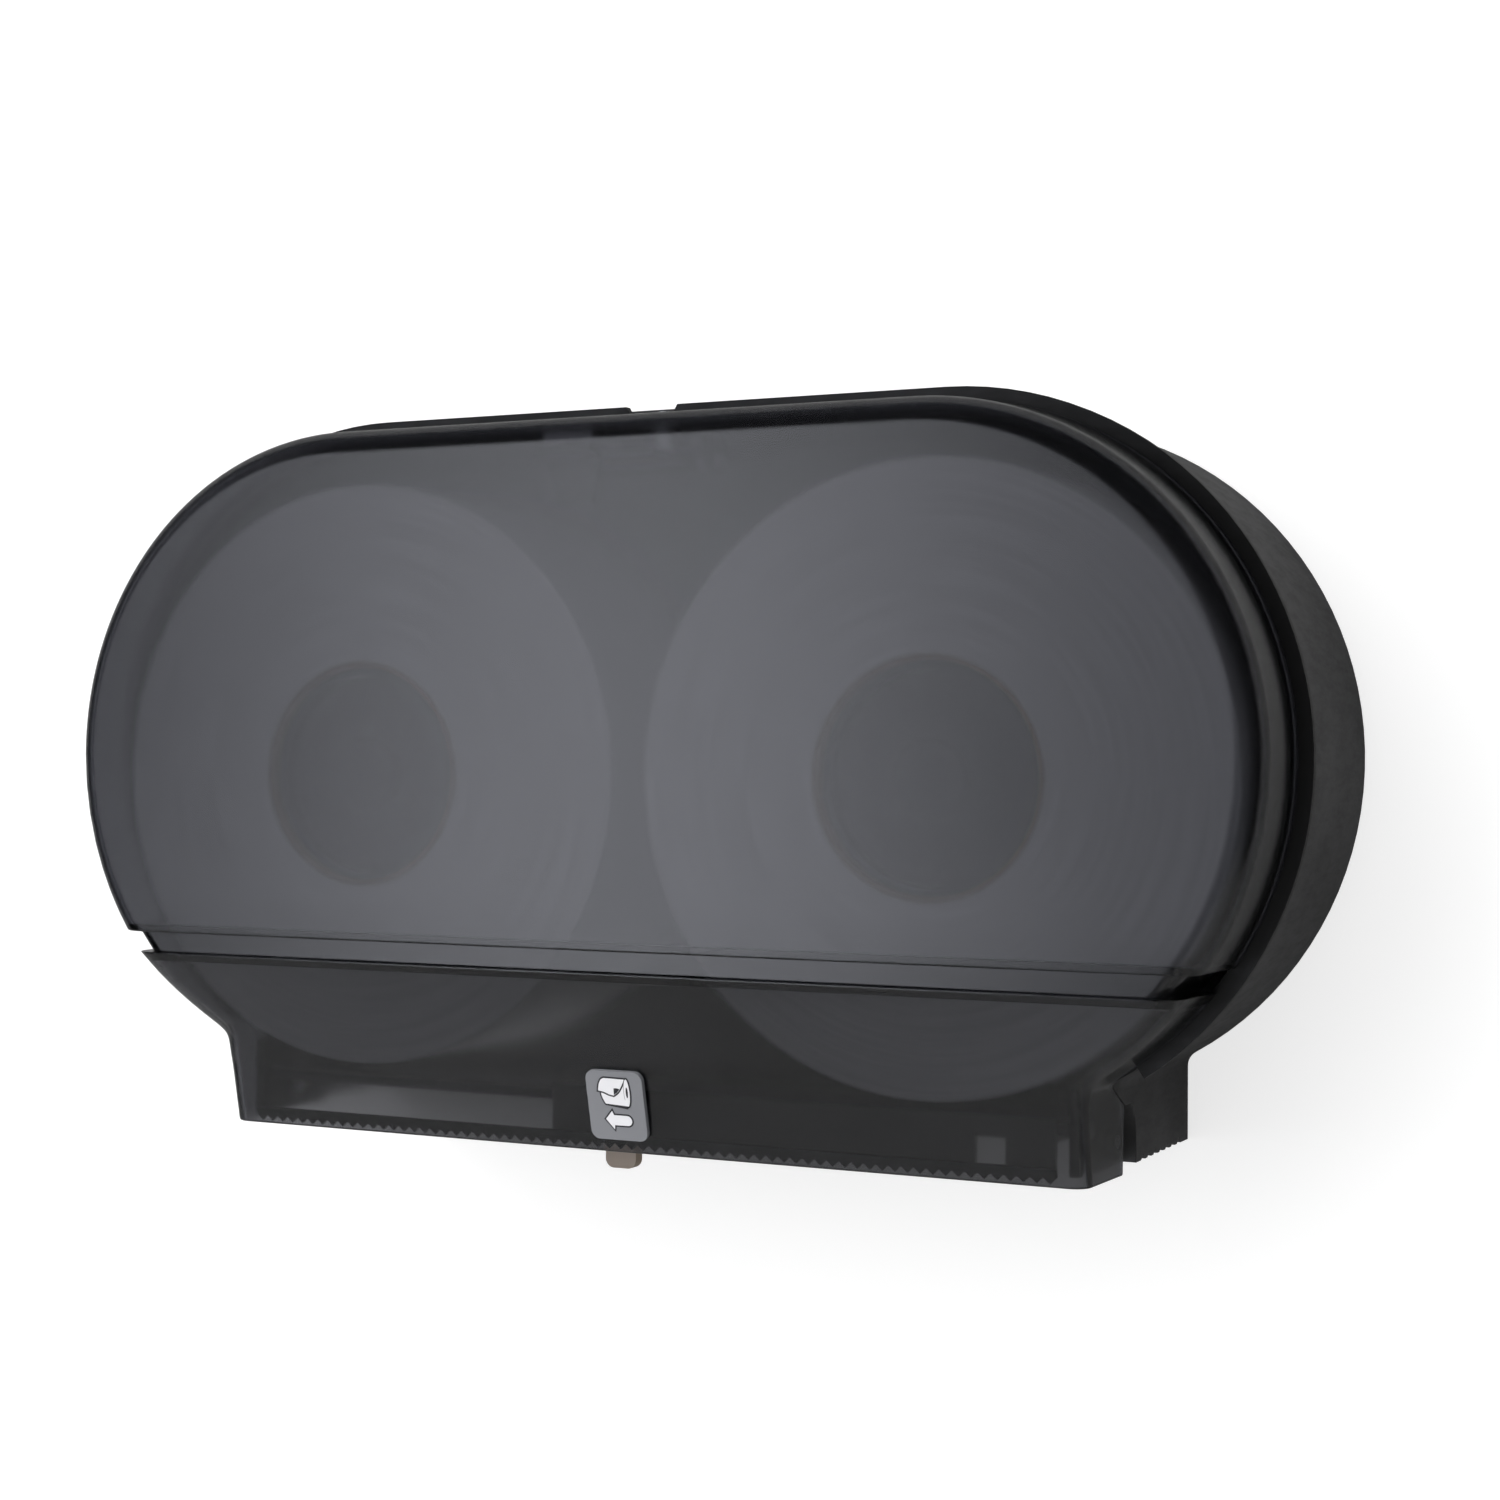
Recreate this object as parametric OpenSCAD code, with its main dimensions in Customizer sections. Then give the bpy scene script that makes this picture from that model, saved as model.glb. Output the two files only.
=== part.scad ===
// Twin jumbo toilet roll dispenser, wall mounted, millimetres.
// X runs along the wall, Y points into the wall and Z is up. The wall plane is Y = 0 and the
// origin is the centre of the wall screw pattern, level with the centres of the two round ends.

/* [Rolls] */
// Radius of a full roll
roll_radius = 113; // [102:0.5:125]
// Width of the paper on each roll
roll_width = 89.4; // [80:0.2:98]
// Bore of the cardboard core
core_bore = 84; // [76:0.5:92]
// Thickness of the cardboard core
core_wall = 1.6; // [1:0.1:2.5]
// Gap between the two rolls
roll_gap = 12.6; // [9:0.2:20]
// How far the roll axes lie below the centres of the round ends
roll_drop = 7; // [4:0.5:9]
// Distance from the wall to the back of the rolls
roll_back = 19.6; // [17.6:0.2:22]

/* [Housing] */
// Room between a full roll and the wall of the housing beside it
roll_room = 12.4; // [10.5:0.1:15]
// Distance from the rolls to the flat front of the cover
front_room = 21; // [18.5:0.5:26]
// Thickness of the housing walls and back plate
housing_wall = 2.8; // [2:0.1:4]
// How far the straight sides stand outside the centres of the round ends
skirt_offset = 61.9; // [54:0.1:70]
// How far the straight sides reach below the round ends
skirt_reach = 15.3; // [13.5:0.1:18]
// Radius of the blend between a round end and the straight side
blend_radius = 6; // [3:0.5:10]
// Height of the rim that stands out round the front of the housing
rim_height = 4.1; // [2:0.1:6]
// Thickness of that rim
rim_thickness = 3; // [2:0.1:5]
// Angle below the horizontal where the rim ends on the round ends
rim_end_angle = 56; // [48:1:58]
// Width of the key notch in the top of the rim
notch_width = 23; // [14:0.5:30]
// Length of the lip that locates the cover
lip_length = 5; // [3:0.5:8]
// Pitch of the tear teeth
tooth_pitch = 4.8; // [3:0.2:8]
// Depth of the tear teeth
tooth_depth = 2.2; // [1:0.1:3]
// Pitch of the teeth along the lower edges of the sides
side_pitch = 7.2; // [6:0.2:9]

/* [Wall screws] */
// Distance between the screw holes along the wall
screw_spacing_x = 200; // [160:1:220]
// Distance between the upper and lower screw holes
screw_spacing_z = 130; // [100:1:144]
// Radius of each wall screw hole
screw_hole_radius = 3.2; // [2.5:0.1:4.5]
// Radius of the boss round each wall screw hole
screw_boss_radius = 9; // [7:0.5:14]
// Height of that boss above the back plate
screw_boss_height = 2; // [1:0.5:5]

/* [Cover] */
// How far the cover stands in front of the housing
cover_reach = 38; // [34:0.5:42]
// Thickness of the cover
cover_wall = 2.6; // [2:0.1:3.2]
// How much smaller the rear edge of the cover is than the housing
cover_step = 0.9; // [0.5:0.1:2]
// How far the sides of the cover flare out from its front edge to its rear edge
cover_flare = 1.9; // [0.5:0.1:3]
// Radius of the rounded front edge
edge_radius = 10; // [8:0.5:14]
// Height of the groove across the cover
groove_height = 8.1; // [6:0.1:10]
// Depth of the groove
groove_depth = 4.5; // [3:0.1:5]
// Height of the sloped panel between the groove and the fold
panel_height = 45.2; // [40:0.1:50]
// How far the sloped panel leans back over its height
panel_lean = 14.5; // [12:0.1:16]
// Height of the skirt below the fold
skirt_height = 22.4; // [19:0.1:26]
// How far the skirt leans back over its height
skirt_lean = 4.3; // [3:0.1:5]
// How far the cover reaches below the housing
cover_overhang = 2.9; // [1:0.1:4]
// How much narrower the skirt is at its front than at its rear, on each side
skirt_draft = 1.9; // [0.5:0.1:4]
// Radius of the upright corners of the skirt
skirt_corner = 7; // [4:0.5:10]
// How far the sides of the skirt reach behind the front of the housing
seam_reach = 15.6; // [14:0.1:18]
// Height of the rear edge of these sides above the lower edge of the housing
seam_height = 21.9; // [20:0.1:24]
// Gap between the cover and the housing where they meet
seam_gap = 0.4; // [0.3:0.1:0.8]

/* [Hinge] */
// Distance from the rear edge of the skirt sides to the hinge axis
hinge_inset = 3.6; // [3:0.1:4.5]
// Height of the hinge axis above the lower edge of the housing
hinge_height = 9.5; // [8.5:0.1:10.5]
// Radius of the hinge pins
pin_radius = 2.5; // [2:0.1:3]
// Thickness of the housing lug that holds each hinge pin
lug_thickness = 4; // [3:0.5:5]
// Distance from the outer face of the skirt to the outer face of the lug
lug_inset = 7.4; // [7:0.1:8]
// Running clearance round a pin or an axle
running_gap = 0.06; // [0.02:0.01:0.1]
// Radius of the recess in the housing that the corner of the cover turns in
recess_radius = 17; // [15:0.5:18]
// Radius of the hinge boss inside the cover
ear_radius = 6; // [4.5:0.5:7]

/* [Axles and hubs] */
// Radius of the fixed axle posts
axle_radius = 9; // [7:0.5:12]
// How far the end of each axle post lies behind the front of the roll
axle_inset = 6; // [4:0.5:10]
// Radius of the foot of each axle post
foot_radius = 27; // [24:0.5:32]
// Thickness of the foot
foot_thickness = 4; // [3:0.5:6]
// Radius of the circle on which the foot screws lie
foot_screw_circle = 20; // [17:0.5:22]
// Number of screws in each foot
foot_screw_count = 3; // [3:1:6]
// Thickness of the hub walls and webs
hub_wall = 2.6; // [2:0.1:3]
// Radius of the collar behind each roll
collar_radius = 54; // [48:1:70]
// Gap between the hub and the bore of the core
hub_gap = 0.3; // [0.2:0.1:1]
// Radius of the cap on the end of each axle
cap_radius = 14; // [12:0.5:18]
// Thickness of that cap
cap_thickness = 3; // [2:0.5:5]

/* [Shutter] */
// Length of the sliding shutter
shutter_length = 201; // [180:1:221]
// Distance from the right end of the shutter to the hinge lug
shutter_end_gap = 4.8; // [1:0.1:8]
// Thickness of the shutter
shutter_wall = 1.8; // [1.4:0.1:2.4]
// Distance from the front of the skirt at its lower edge to the front of the shutter
shutter_setback = 9.8; // [8.8:0.1:11]
// Distance from the wall to the rear edge of the shutter
shutter_back = 14; // [10:0.5:18]
// Height of the lower edge of the shutter's front above the lower edge of the housing
shutter_rise = 1.5; // [0.5:0.1:3]
// Width of the notch in the lower edge of the shutter
shutter_notch_width = 11.2; // [8:0.2:16]
// Height of that notch
shutter_notch_height = 11; // [6:0.5:11.2]
// Distance from the right end of the shutter to the middle of that notch
shutter_notch_place = 24; // [16:1:50]
// Sliding gap round the rail
slide_gap = 0.4; // [0.3:0.1:0.6]
// Depth of the rail from front to back
rail_depth = 6; // [4:0.5:8]
// Height of the rail
rail_height = 4; // [3:0.5:5]
// Height of the top of the rail above the lower edge of the housing
rail_rise = 17.5; // [16:0.5:19]
// Width of the handle under the shutter
handle_width = 13; // [9:0.5:18]
// Thickness of the handle
handle_thickness = 5; // [4:0.5:8]
// How far the handle reaches below the lower edge of the housing
handle_length = 12.6; // [6:0.1:14]
// Radius of the lower corners of the handle
handle_corner = 3.5; // [1:0.5:4]
// Distance from the front of the shutter to the middle of the handle
handle_setback = 13.4; // [11:0.1:20]
// Distance from the left end of the shutter to the middle of the handle
handle_place = 23; // [14:1:60]

/* [Latch] */
// Width of the latch tongue at its top
tongue_width = 23; // [16:0.5:26]
// Width of the latch tongue at its tip
tongue_tip_width = 15.6; // [10:0.2:20]
// Height of the latch tongue
tongue_height = 23; // [16:0.5:26]
// Distance from the middle of the case to the middle of the tongue
tongue_offset = 26; // [20:1:34]
// Thickness of the latch lever
lever_thickness = 3; // [2:0.2:3.4]
// Distance from the latch pivot to the nose of the latch
lever_length = 47; // [42:1:52]
// Distance from the top of the housing's inside down to the latch pivot
latch_room = 12.8; // [12:0.1:14]
// Distance from the nose of the latch to the flat front of the cover
nose_inset = 17; // [16:0.5:19]
// Radius of the latch pin
latch_pin_radius = 2; // [1.6:0.1:2.6]
// Radius of the release pin that the key pushes
release_radius = 3.6; // [3:0.1:4.4]
// Place of the release pin, from the centre
release_place = 3; // [0:0.5:5]
// Distance from the front of the housing to the release pin
release_inset = 6; // [5.5:0.1:8]
// Gap between the release pin and the latch lever at rest
release_gap = 0.7; // [0.6:0.1:0.9]
// Height of the top of the release pin above the housing
release_rise = 2; // [1:0.1:3]

/* [Badge] */
// Width of the badge
badge_width = 23.6; // [18:0.2:30]
// Height of the badge
badge_height = 26.6; // [20:0.2:30]
// Thickness of the badge
badge_thickness = 2; // [1:0.1:3]
// Radius of the corners of the badge
badge_corner = 3.4; // [2:0.1:6]
// Height of the top of the badge above the fold
badge_rise = 9; // [7:0.1:11]
// Height of the raised symbols on the badge
symbol_relief = 0.4; // [0.2:0.1:0.8]

/* [Hidden] */
$fn = 96;

// How far a cut runs past a face, and how far one shape reaches into the next that it is joined to
cut = 1;
sunk = 1;
side = [-1, 1];

// Housing
end_spacing = 2 * roll_radius + roll_gap;
end_place = end_spacing / 2;
far_out = 2 * end_spacing;
housing_radius = roll_radius + roll_room + housing_wall;
roof = housing_radius - housing_wall;
roll_front = roll_back + roll_width;
cover_front = roll_front + front_room;
housing_depth = cover_front - cover_reach;
skirt_half = end_place + skirt_offset;
skirt_drop = housing_radius + skirt_reach;
skirt_meet = sqrt(pow(housing_radius, 2) - pow(skirt_offset, 2));
skirt_root_depth = 7.2;
skirt_root = skirt_meet - skirt_root_depth;
rim_radius = housing_radius + rim_height;
notch_slant = 3;
guard_thickness = 1.6;
guard_reach = 7;
guard_step = 0.3;
guard_gap = 0.6;
lip_root = 5;
lip_gap = 0.9;
lip_wall = 2;
lip_drop = skirt_root - sunk;
pad_height = 3;
pad_margin = 1;
pilot_floor = 0.8;
pilot_play = 0.2;

// Cover
cover_back = housing_depth + seam_gap;
cover_depth = cover_front - cover_back;
cover_radius = housing_radius - cover_step - cover_flare;
cover_drop = skirt_drop + cover_overhang;
fold_drop = cover_drop - skirt_height;
fold_front = cover_front - panel_lean;
skirt_front = fold_front - skirt_lean;
groove_bottom = fold_drop - panel_height;
groove_drop = groove_bottom - groove_height;
band_top = groove_drop - cover_wall;
band_bottom = groove_bottom + cover_wall;
band_gap_above = 0.6;
band_gap_below = 2;
seam_front = housing_depth - seam_reach;
seam_drop = skirt_drop - seam_height;
seam_offset = 3.1;
seam_start = -rim_radius * sin(rim_end_angle) - seam_offset;
skirt_proud = 0.3;
skirt_tilt = atan(skirt_lean / skirt_height);
skirt_rise = cover_drop - skirt_root;
inner_shift = 1.04 * cover_wall;
tear_bar_rise = 0.6;
tear_bar_gap = 0.12;
tear_bar_thickness = 1.6;
tear_bar_root = 3;

// Hinge
hinge_front = seam_front + hinge_inset;
hinge_drop = skirt_drop - hinge_height;
lug_outer = skirt_half - lug_inset;
lug_inner = lug_outer - lug_thickness;
recess_back = hinge_front - recess_radius;
block_back = recess_back - housing_wall;
block_lap = 8;
block_top = skirt_root + block_lap;
pin_head = 1.5;
pin_end_gap = 0.3;

// Axles, hubs and rolls
axle_length = roll_front - axle_inset;
foot_screw_radius = 2;
foot_screw_head = 2.2;
foot_back = housing_wall + pad_height;
foot_front = foot_back + foot_thickness;
cap_stem_radius = 3;
cap_stem_length = 13.6;
end_play = 0.4;
hub_radius = core_bore / 2 - hub_gap;
core_radius = core_bore / 2 + core_wall;
collar_front = roll_back - end_play;
collar_back = collar_front - hub_wall;
drum_inset = 4;
web_inset = 14;

// Shutter
shutter_front = skirt_front - shutter_setback;
shutter_drop = skirt_drop - shutter_rise;
shutter_right = lug_inner - shutter_end_gap;
shutter_left = shutter_right - shutter_length;
lug_front = shutter_front + sunk;
rail_front = shutter_front - shutter_wall - slide_gap;
rail_middle = rail_front - rail_depth / 2;
rail_drop = skirt_drop - rail_rise;
rail_bottom = rail_drop + rail_height;
rail_screw_radius = 1.5;
rail_screw_head = 1.6;
rail_screw_reach = 8.5;
shelf_top = rail_bottom + slide_gap;
shelf_bottom = shelf_top + shutter_wall;
hook_height = 0.6 * rail_height;
ledge_reach = 8;
ledge_gap = 0.3;
ledge_front = shutter_back + ledge_reach;
ledge_top = shelf_bottom + ledge_gap;
ledge_thickness = 1.8;
ledge_root = 5.7;
handle_drop = skirt_drop + handle_length;
handle_front = shutter_front - handle_setback;

// Latch
nose_front = cover_front - nose_inset;
latch_front = nose_front - lever_length;
latch_height = roof - latch_room;
release_front = housing_depth - release_inset;
guard_front = release_front - release_radius - guard_gap;
tongue_place = -tongue_offset;
cheek = 2.6;
cheek_gap = 0.4;
cheek_foot = 5;
cheek_rise = 4;
lever_left = tongue_place - tongue_width / 2;
lever_end = 1.4;
lever_right = release_place + release_radius + lever_end;
spring_room = 4.4;
spring_turns = 3;
bracket_left = lever_left - cheek_gap - cheek;
bracket_right = lever_right + spring_room + cheek;
bracket_ahead = 9;
bracket_behind = 8;
bracket_front = latch_front + bracket_ahead;
bracket_back = latch_front - bracket_behind;
bracket_thickness = 3;
bracket_gap = 2;
bracket_screw_radius = 1.5;
bracket_screw_inset = 9;
bracket_screw_bite = 1.8;
pin_washer = 1.2;
lever_top = latch_height + 0.8 * lever_thickness;
lever_bottom = lever_top - lever_thickness;
lever_boss_wall = 2.6;
lever_boss = latch_pin_radius + lever_boss_wall;
head_length = 9;
head_back = nose_front - head_length;
head_slant = 1.4;
nose_rise = 2.8;
nose_top = lever_top + nose_rise;
nose_thickness = 3.4;
nose_bevel = 1.5;
tongue_thickness = 2.4;
release_collar = 2;
release_collar_gap = 0.3;
release_collar_step = 1.6;

// Keeper of the latch, under the wall of the cover
keeper_wall = 1.6;
keeper_clear = 0.6;
keeper_front = nose_front - nose_thickness - keeper_clear;
keeper_depth = 10.6;
keeper_back = keeper_front - keeper_depth;
keeper_lift = 1.2;
keeper_drop = nose_top + keeper_lift;
keeper_gap = 0.3;
rivet_radius = 1.2;
rivet_head = 1;
rivet_play = 0.05;
rivet_inset = 7;
rivet_front = keeper_front - rivet_inset;

// Badge, and how far the front of the cover stands from the wall at two heights under it
badge_gap = 0.1;
badge_drop = fold_drop - badge_rise;
badge_low_drop = badge_drop + 0.97 * badge_height;
badge_top_front = fold_front + panel_lean * badge_rise / panel_height;
badge_low_front = fold_front - skirt_lean * (badge_low_drop - fold_drop) / skirt_height;
badge_tilt = atan((badge_top_front - badge_low_front) / (badge_low_drop - badge_drop));

// Inner radius of the side of the cover at a distance from the wall
function cover_bore(front) =
    cover_radius - cover_wall
        + cover_flare * (cover_front - edge_radius - front) / (cover_depth - edge_radius);

// An outline drawn as [x, z], pulled out from the wall between two distances
module from_wall(near, far) {
    translate([0, -near, 0])
        rotate([90, 0, 0])
            linear_extrude(far - near)
                children();
}

// A section drawn as [y, z], pulled out along X between two places
module across(left, right) {
    translate([left, 0, 0])
        rotate([90, 0, 90])
            linear_extrude(right - left)
                children();
}

// A profile drawn as [radius, distance from the wall], turned round a roll axis
module turned(place, drop) {
    translate([place, 0, -drop])
        rotate([90, 0, 0])
            rotate_extrude()
                children();
}

// A round bar along X
module bar_x(left, right, front, height, radius) {
    translate([left, -front, height])
        rotate([0, 90, 0])
            cylinder(h = right - left, r = radius);
}

// A round bar straight out from the wall
module bar_y(place, height, near, far, radius) {
    translate([place, -near, height])
        rotate([90, 0, 0])
            cylinder(h = far - near, r = radius);
}

// Mirrored to both ends
module both_ends() {
    children();
    mirror([1, 0, 0])
        children();
}

// Two round ends joined by straight sides
module stadium(radius) {
    for (s = side)
        translate([s * end_place, 0])
            circle(radius);
    translate([-end_place, -radius])
        square([end_spacing, 2 * radius]);
}

// Everything below the two ends of the rim
module below_rim() {
    reach = 3 * rim_radius;
    end_x = end_place + reach * cos(rim_end_angle);
    end_z = -reach * sin(rim_end_angle);
    polygon([[-end_place, 0], [end_place, 0], [end_x, end_z], [-end_x, end_z]]);
}

// Fills the inside corner between a round end and the straight side below it
module corner_blend(radius, half, blend) {
    centre_x = half + blend;
    centre_z = -sqrt(pow(radius + blend, 2) - pow(centre_x - end_place, 2));
    share = radius / (radius + blend);
    touch = [end_place + (centre_x - end_place) * share, centre_z * share];
    difference() {
        polygon([
            [half - sunk, centre_z], [centre_x, centre_z], touch, [half - sunk, touch[1] + 2 * sunk]
        ]);
        translate([centre_x, centre_z])
            circle(blend);
    }
}

// Front view of the housing: the round ends with the straight skirt below
module body_outline(radius, half, drop, blend) {
    stadium(radius);
    translate([-half, -drop])
        square([2 * half, drop - skirt_root]);
    corner_blend(radius, half, blend);
    mirror([1, 0])
        corner_blend(radius, half, blend);
}

// Side view of the part of the cover that reaches back beside the housing
module seam_shape(gap) {
    polygon([
        [-cover_back + gap, seam_start + gap],
        [-seam_front + gap, -seam_drop + gap],
        [-seam_front + gap, -cover_drop - cut],
        [-cover_front, -cover_drop - cut],
        [-cover_front, seam_start + gap]
    ]);
}

// Screw shafts or their holes round both axle feet
module foot_screws(near, far, radius) {
    for (s = side, i = [0:foot_screw_count - 1]) {
        turn = 90 + i * 360 / foot_screw_count;
        bar_y(s * end_place + foot_screw_circle * cos(turn),
            foot_screw_circle * sin(turn) - roll_drop, near, far, radius);
    }
}

// Screw shafts or their holes in the latch bracket
module bracket_screw_row(low, high, radius = bracket_screw_radius) {
    for (place = [bracket_left + bracket_screw_inset, bracket_right - bracket_screw_inset])
        translate([place, -latch_front, low])
            cylinder(h = high - low, r = radius);
}

// The row of teeth along the lower edge of a housing side
module side_teeth() {
    first = 8;
    last = recess_back - 2;
    half = 0.46 * side_pitch;
    count = floor((last - first) / side_pitch);
    for (i = [0:count - 1]) {
        middle = -first - (i + 0.5) * side_pitch;
        across(-skirt_half - cut, skirt_half + cut)
            polygon([
                [middle - half, -skirt_drop - cut], [middle + half, -skirt_drop - cut],
                [middle, -skirt_drop + tooth_depth]
            ]);
    }
}

// The rim that stands out round the front of the housing, with its key notch
module rim() {
    back = housing_depth - rim_thickness;
    difference() {
        from_wall(back, housing_depth)
            stadium(rim_radius);
        from_wall(back - cut, housing_depth + cut) {
            stadium(housing_radius - sunk);
            below_rim();
            polygon([
                [-notch_width / 2, rim_radius + cut], [notch_width / 2, rim_radius + cut],
                [notch_width / 2 - notch_slant, housing_radius],
                [notch_slant - notch_width / 2, housing_radius]
            ]);
        }
    }
}

// The low wall behind the release pin, which stands behind the notch of the rim
module guard() {
    half = notch_width / 2 + guard_reach;
    from_wall(guard_front - guard_thickness, guard_front)
        translate([-half, roof + sunk])
            square([2 * half, rim_radius - guard_step - roof - sunk]);
}

// The lip that reaches into the cover, left out beside the skirt and round the latch
module lip() {
    front = housing_depth + lip_length;
    outer = cover_radius + cover_flare - cover_wall - lip_gap;
    difference() {
        union() {
            from_wall(housing_depth - lip_root, housing_depth)
                stadium(roof + sunk);
            from_wall(housing_depth - sunk, front)
                stadium(outer);
        }
        from_wall(0, front + cut)
            stadium(outer - lip_wall);
        translate([-far_out, -front - cut, -2 * skirt_drop])
            cube([2 * far_out, front, 2 * skirt_drop - lip_drop]);
        // Left out where the inner side of the groove passes
        translate([-far_out, -front - cut, -groove_bottom - cover_wall - band_gap_below])
            cube([2 * far_out, front, groove_height + 2 * cover_wall + band_gap_above + band_gap_below]);
        translate([bracket_left - bracket_gap, -front - cut, 0])
            cube([
                bracket_right - bracket_left + 2 * bracket_gap, lip_length + lip_root + 2 * cut,
                rim_radius
            ]);
    }
}

// Room in the housing for the skirt of the cover and for its corner as it turns
module cover_room() {
    both_ends()
        across(lug_outer, skirt_half + end_place) {
            seam_shape(seam_gap);
            intersection() {
                translate([-hinge_front, -hinge_drop])
                    circle(recess_radius);
                translate([-lug_front, -2 * skirt_drop])
                    square([lug_front, 2 * skirt_drop - seam_drop]);
            }
            translate([-hinge_front, -2 * skirt_drop])
                square([recess_radius, 2 * skirt_drop - hinge_drop]);
        }
}

module back_housing() {
    boss_front = housing_wall + screw_boss_height;
    color([0.13, 0.13, 0.135])
        difference() {
            union() {
                // Back plate and side walls
                from_wall(0, housing_wall)
                    body_outline(housing_radius, skirt_half, skirt_drop, blend_radius);
                difference() {
                    from_wall(0, housing_depth)
                        body_outline(housing_radius, skirt_half, skirt_drop, blend_radius);
                    from_wall(-cut, housing_depth + cut)
                        body_outline(roof, skirt_half - housing_wall, skirt_drop + cut,
                            blend_radius + housing_wall);
                }
                rim();
                guard();
                lip();
                // Bosses round the wall screw holes
                for (s = side, t = side)
                    bar_y(s * screw_spacing_x / 2, t * screw_spacing_z / 2, 0, boss_front,
                        screw_boss_radius);
                // Pads under the feet of the axles
                for (s = side)
                    bar_y(s * end_place, -roll_drop, 0, foot_back, foot_radius + pad_margin);
                // Ledge that carries the rear edge of the shutter
                across(-skirt_half + sunk, skirt_half - sunk)
                    polygon([
                        [-sunk, -ledge_top], [-ledge_front, -ledge_top],
                        [-ledge_front, -ledge_top - ledge_thickness], [-sunk, -ledge_top - ledge_root]
                    ]);
                // Blocks that hold the hinge pins and the rail
                both_ends()
                    across(lug_inner, skirt_half)
                        translate([-lug_front, -skirt_drop])
                            square([lug_front - block_back, skirt_drop - block_top]);
            }
            cover_room();
            // Bores for the hinge pins and the rail screws
            both_ends() {
                bar_x(lug_inner - cut, lug_outer + cut, hinge_front, -hinge_drop, pin_radius);
                bar_x(lug_inner - cut, lug_outer + cut, rail_middle, rail_height / 2 - rail_bottom,
                    rail_screw_radius);
                bar_x(lug_outer - rail_screw_head, lug_outer + cut, rail_middle,
                    rail_height / 2 - rail_bottom, 2 * rail_screw_radius);
            }
            // Wall screw holes and the pilot holes of the foot and bracket screws
            for (s = side, t = side)
                bar_y(s * screw_spacing_x / 2, t * screw_spacing_z / 2, -cut, boss_front + cut,
                    screw_hole_radius);
            foot_screws(pilot_floor, foot_back + cut, foot_screw_radius);
            bracket_screw_row(roof - cut, roof + bracket_screw_bite + pilot_play);
            // Bore for the release pin
            translate([release_place, -release_front, roof - cut])
                cylinder(h = rim_radius - roof + 2 * cut, r = release_radius + running_gap);
            side_teeth();
        }
}

module shutter_rail() {
    color([0.16, 0.16, 0.165])
        difference() {
            across(-lug_inner, lug_inner)
                translate([-rail_front, -rail_bottom])
                    square([rail_depth, rail_height]);
            both_ends()
                bar_x(lug_inner - rail_screw_reach - sunk / 2, lug_inner + cut, rail_middle,
                    rail_height / 2 - rail_bottom, rail_screw_radius);
        }
}

module rail_screws() {
    height = rail_height / 2 - rail_bottom;
    color("silver")
        both_ends() {
            bar_x(lug_inner - rail_screw_reach, lug_outer, rail_middle, height, rail_screw_radius);
            bar_x(lug_outer - rail_screw_head, lug_outer, rail_middle, height, 2 * rail_screw_radius);
        }
}

module hinge_pins() {
    color("silver")
        both_ends() {
            bar_x(lug_inner, skirt_half - cover_wall, hinge_front, -hinge_drop, pin_radius);
            bar_x(lug_inner - pin_head, lug_inner, hinge_front, -hinge_drop, pin_radius + pin_head);
        }
}

// A fixed post with a screwed foot, bored at its end for the cap
module axle(place) {
    color([0.3, 0.3, 0.31])
        difference() {
            union() {
                bar_y(place, -roll_drop, foot_back, foot_front, foot_radius);
                bar_y(place, -roll_drop, foot_back, axle_length, axle_radius);
            }
            bar_y(place, -roll_drop, axle_length - cap_stem_length - end_play, axle_length + cut,
                cap_stem_radius);
            foot_screws(0, foot_front + cut, foot_screw_radius);
        }
}

module axle_left() {
    axle(-end_place);
}

module axle_right() {
    axle(end_place);
}

module axle_screws() {
    color("silver") {
        foot_screws(pilot_floor + pilot_play, foot_front, foot_screw_radius);
        difference() {
            foot_screws(foot_front, foot_front + foot_screw_head, 1.9 * foot_screw_radius);
            foot_screws(foot_front + foot_screw_head / 2, foot_front + foot_screw_head + cut,
                0.7 * foot_screw_radius);
        }
    }
}

// The cap that keeps a hub on its axle
module axle_cap(place) {
    color([0.09, 0.09, 0.1])
        turned(place, roll_drop)
            polygon([
                [0, axle_length - cap_stem_length], [cap_stem_radius, axle_length - cap_stem_length],
                [cap_stem_radius, axle_length], [cap_radius, axle_length],
                [cap_radius, axle_length + cap_thickness - 1],
                [cap_radius - 1, axle_length + cap_thickness], [0, axle_length + cap_thickness]
            ]);
}

module axle_cap_left() {
    axle_cap(-end_place);
}

module axle_cap_right() {
    axle_cap(end_place);
}

module latch_bracket() {
    color([0.16, 0.16, 0.165])
        difference() {
            union() {
                translate([bracket_left, -bracket_front, roof - bracket_thickness])
                    cube([bracket_right - bracket_left, bracket_front - bracket_back, bracket_thickness]);
                for (place = [bracket_left, bracket_right - cheek])
                    across(place, place + cheek)
                        polygon([
                            [-bracket_front, roof - bracket_thickness / 2],
                            [-bracket_back, roof - bracket_thickness / 2],
                            [-latch_front + cheek_foot, latch_height - cheek_rise],
                            [-latch_front - cheek_foot, latch_height - cheek_rise]
                        ]);
            }
            bar_x(bracket_left - cut, bracket_right + cut, latch_front, latch_height,
                latch_pin_radius);
            bracket_screw_row(roof - bracket_thickness - cut, roof + cut);
        }
}

module bracket_screws() {
    color("silver") {
        bracket_screw_row(roof - bracket_thickness, roof + bracket_screw_bite);
        bracket_screw_row(roof - bracket_thickness - bracket_screw_radius,
            roof - bracket_thickness, 2 * bracket_screw_radius);
    }
}

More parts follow.
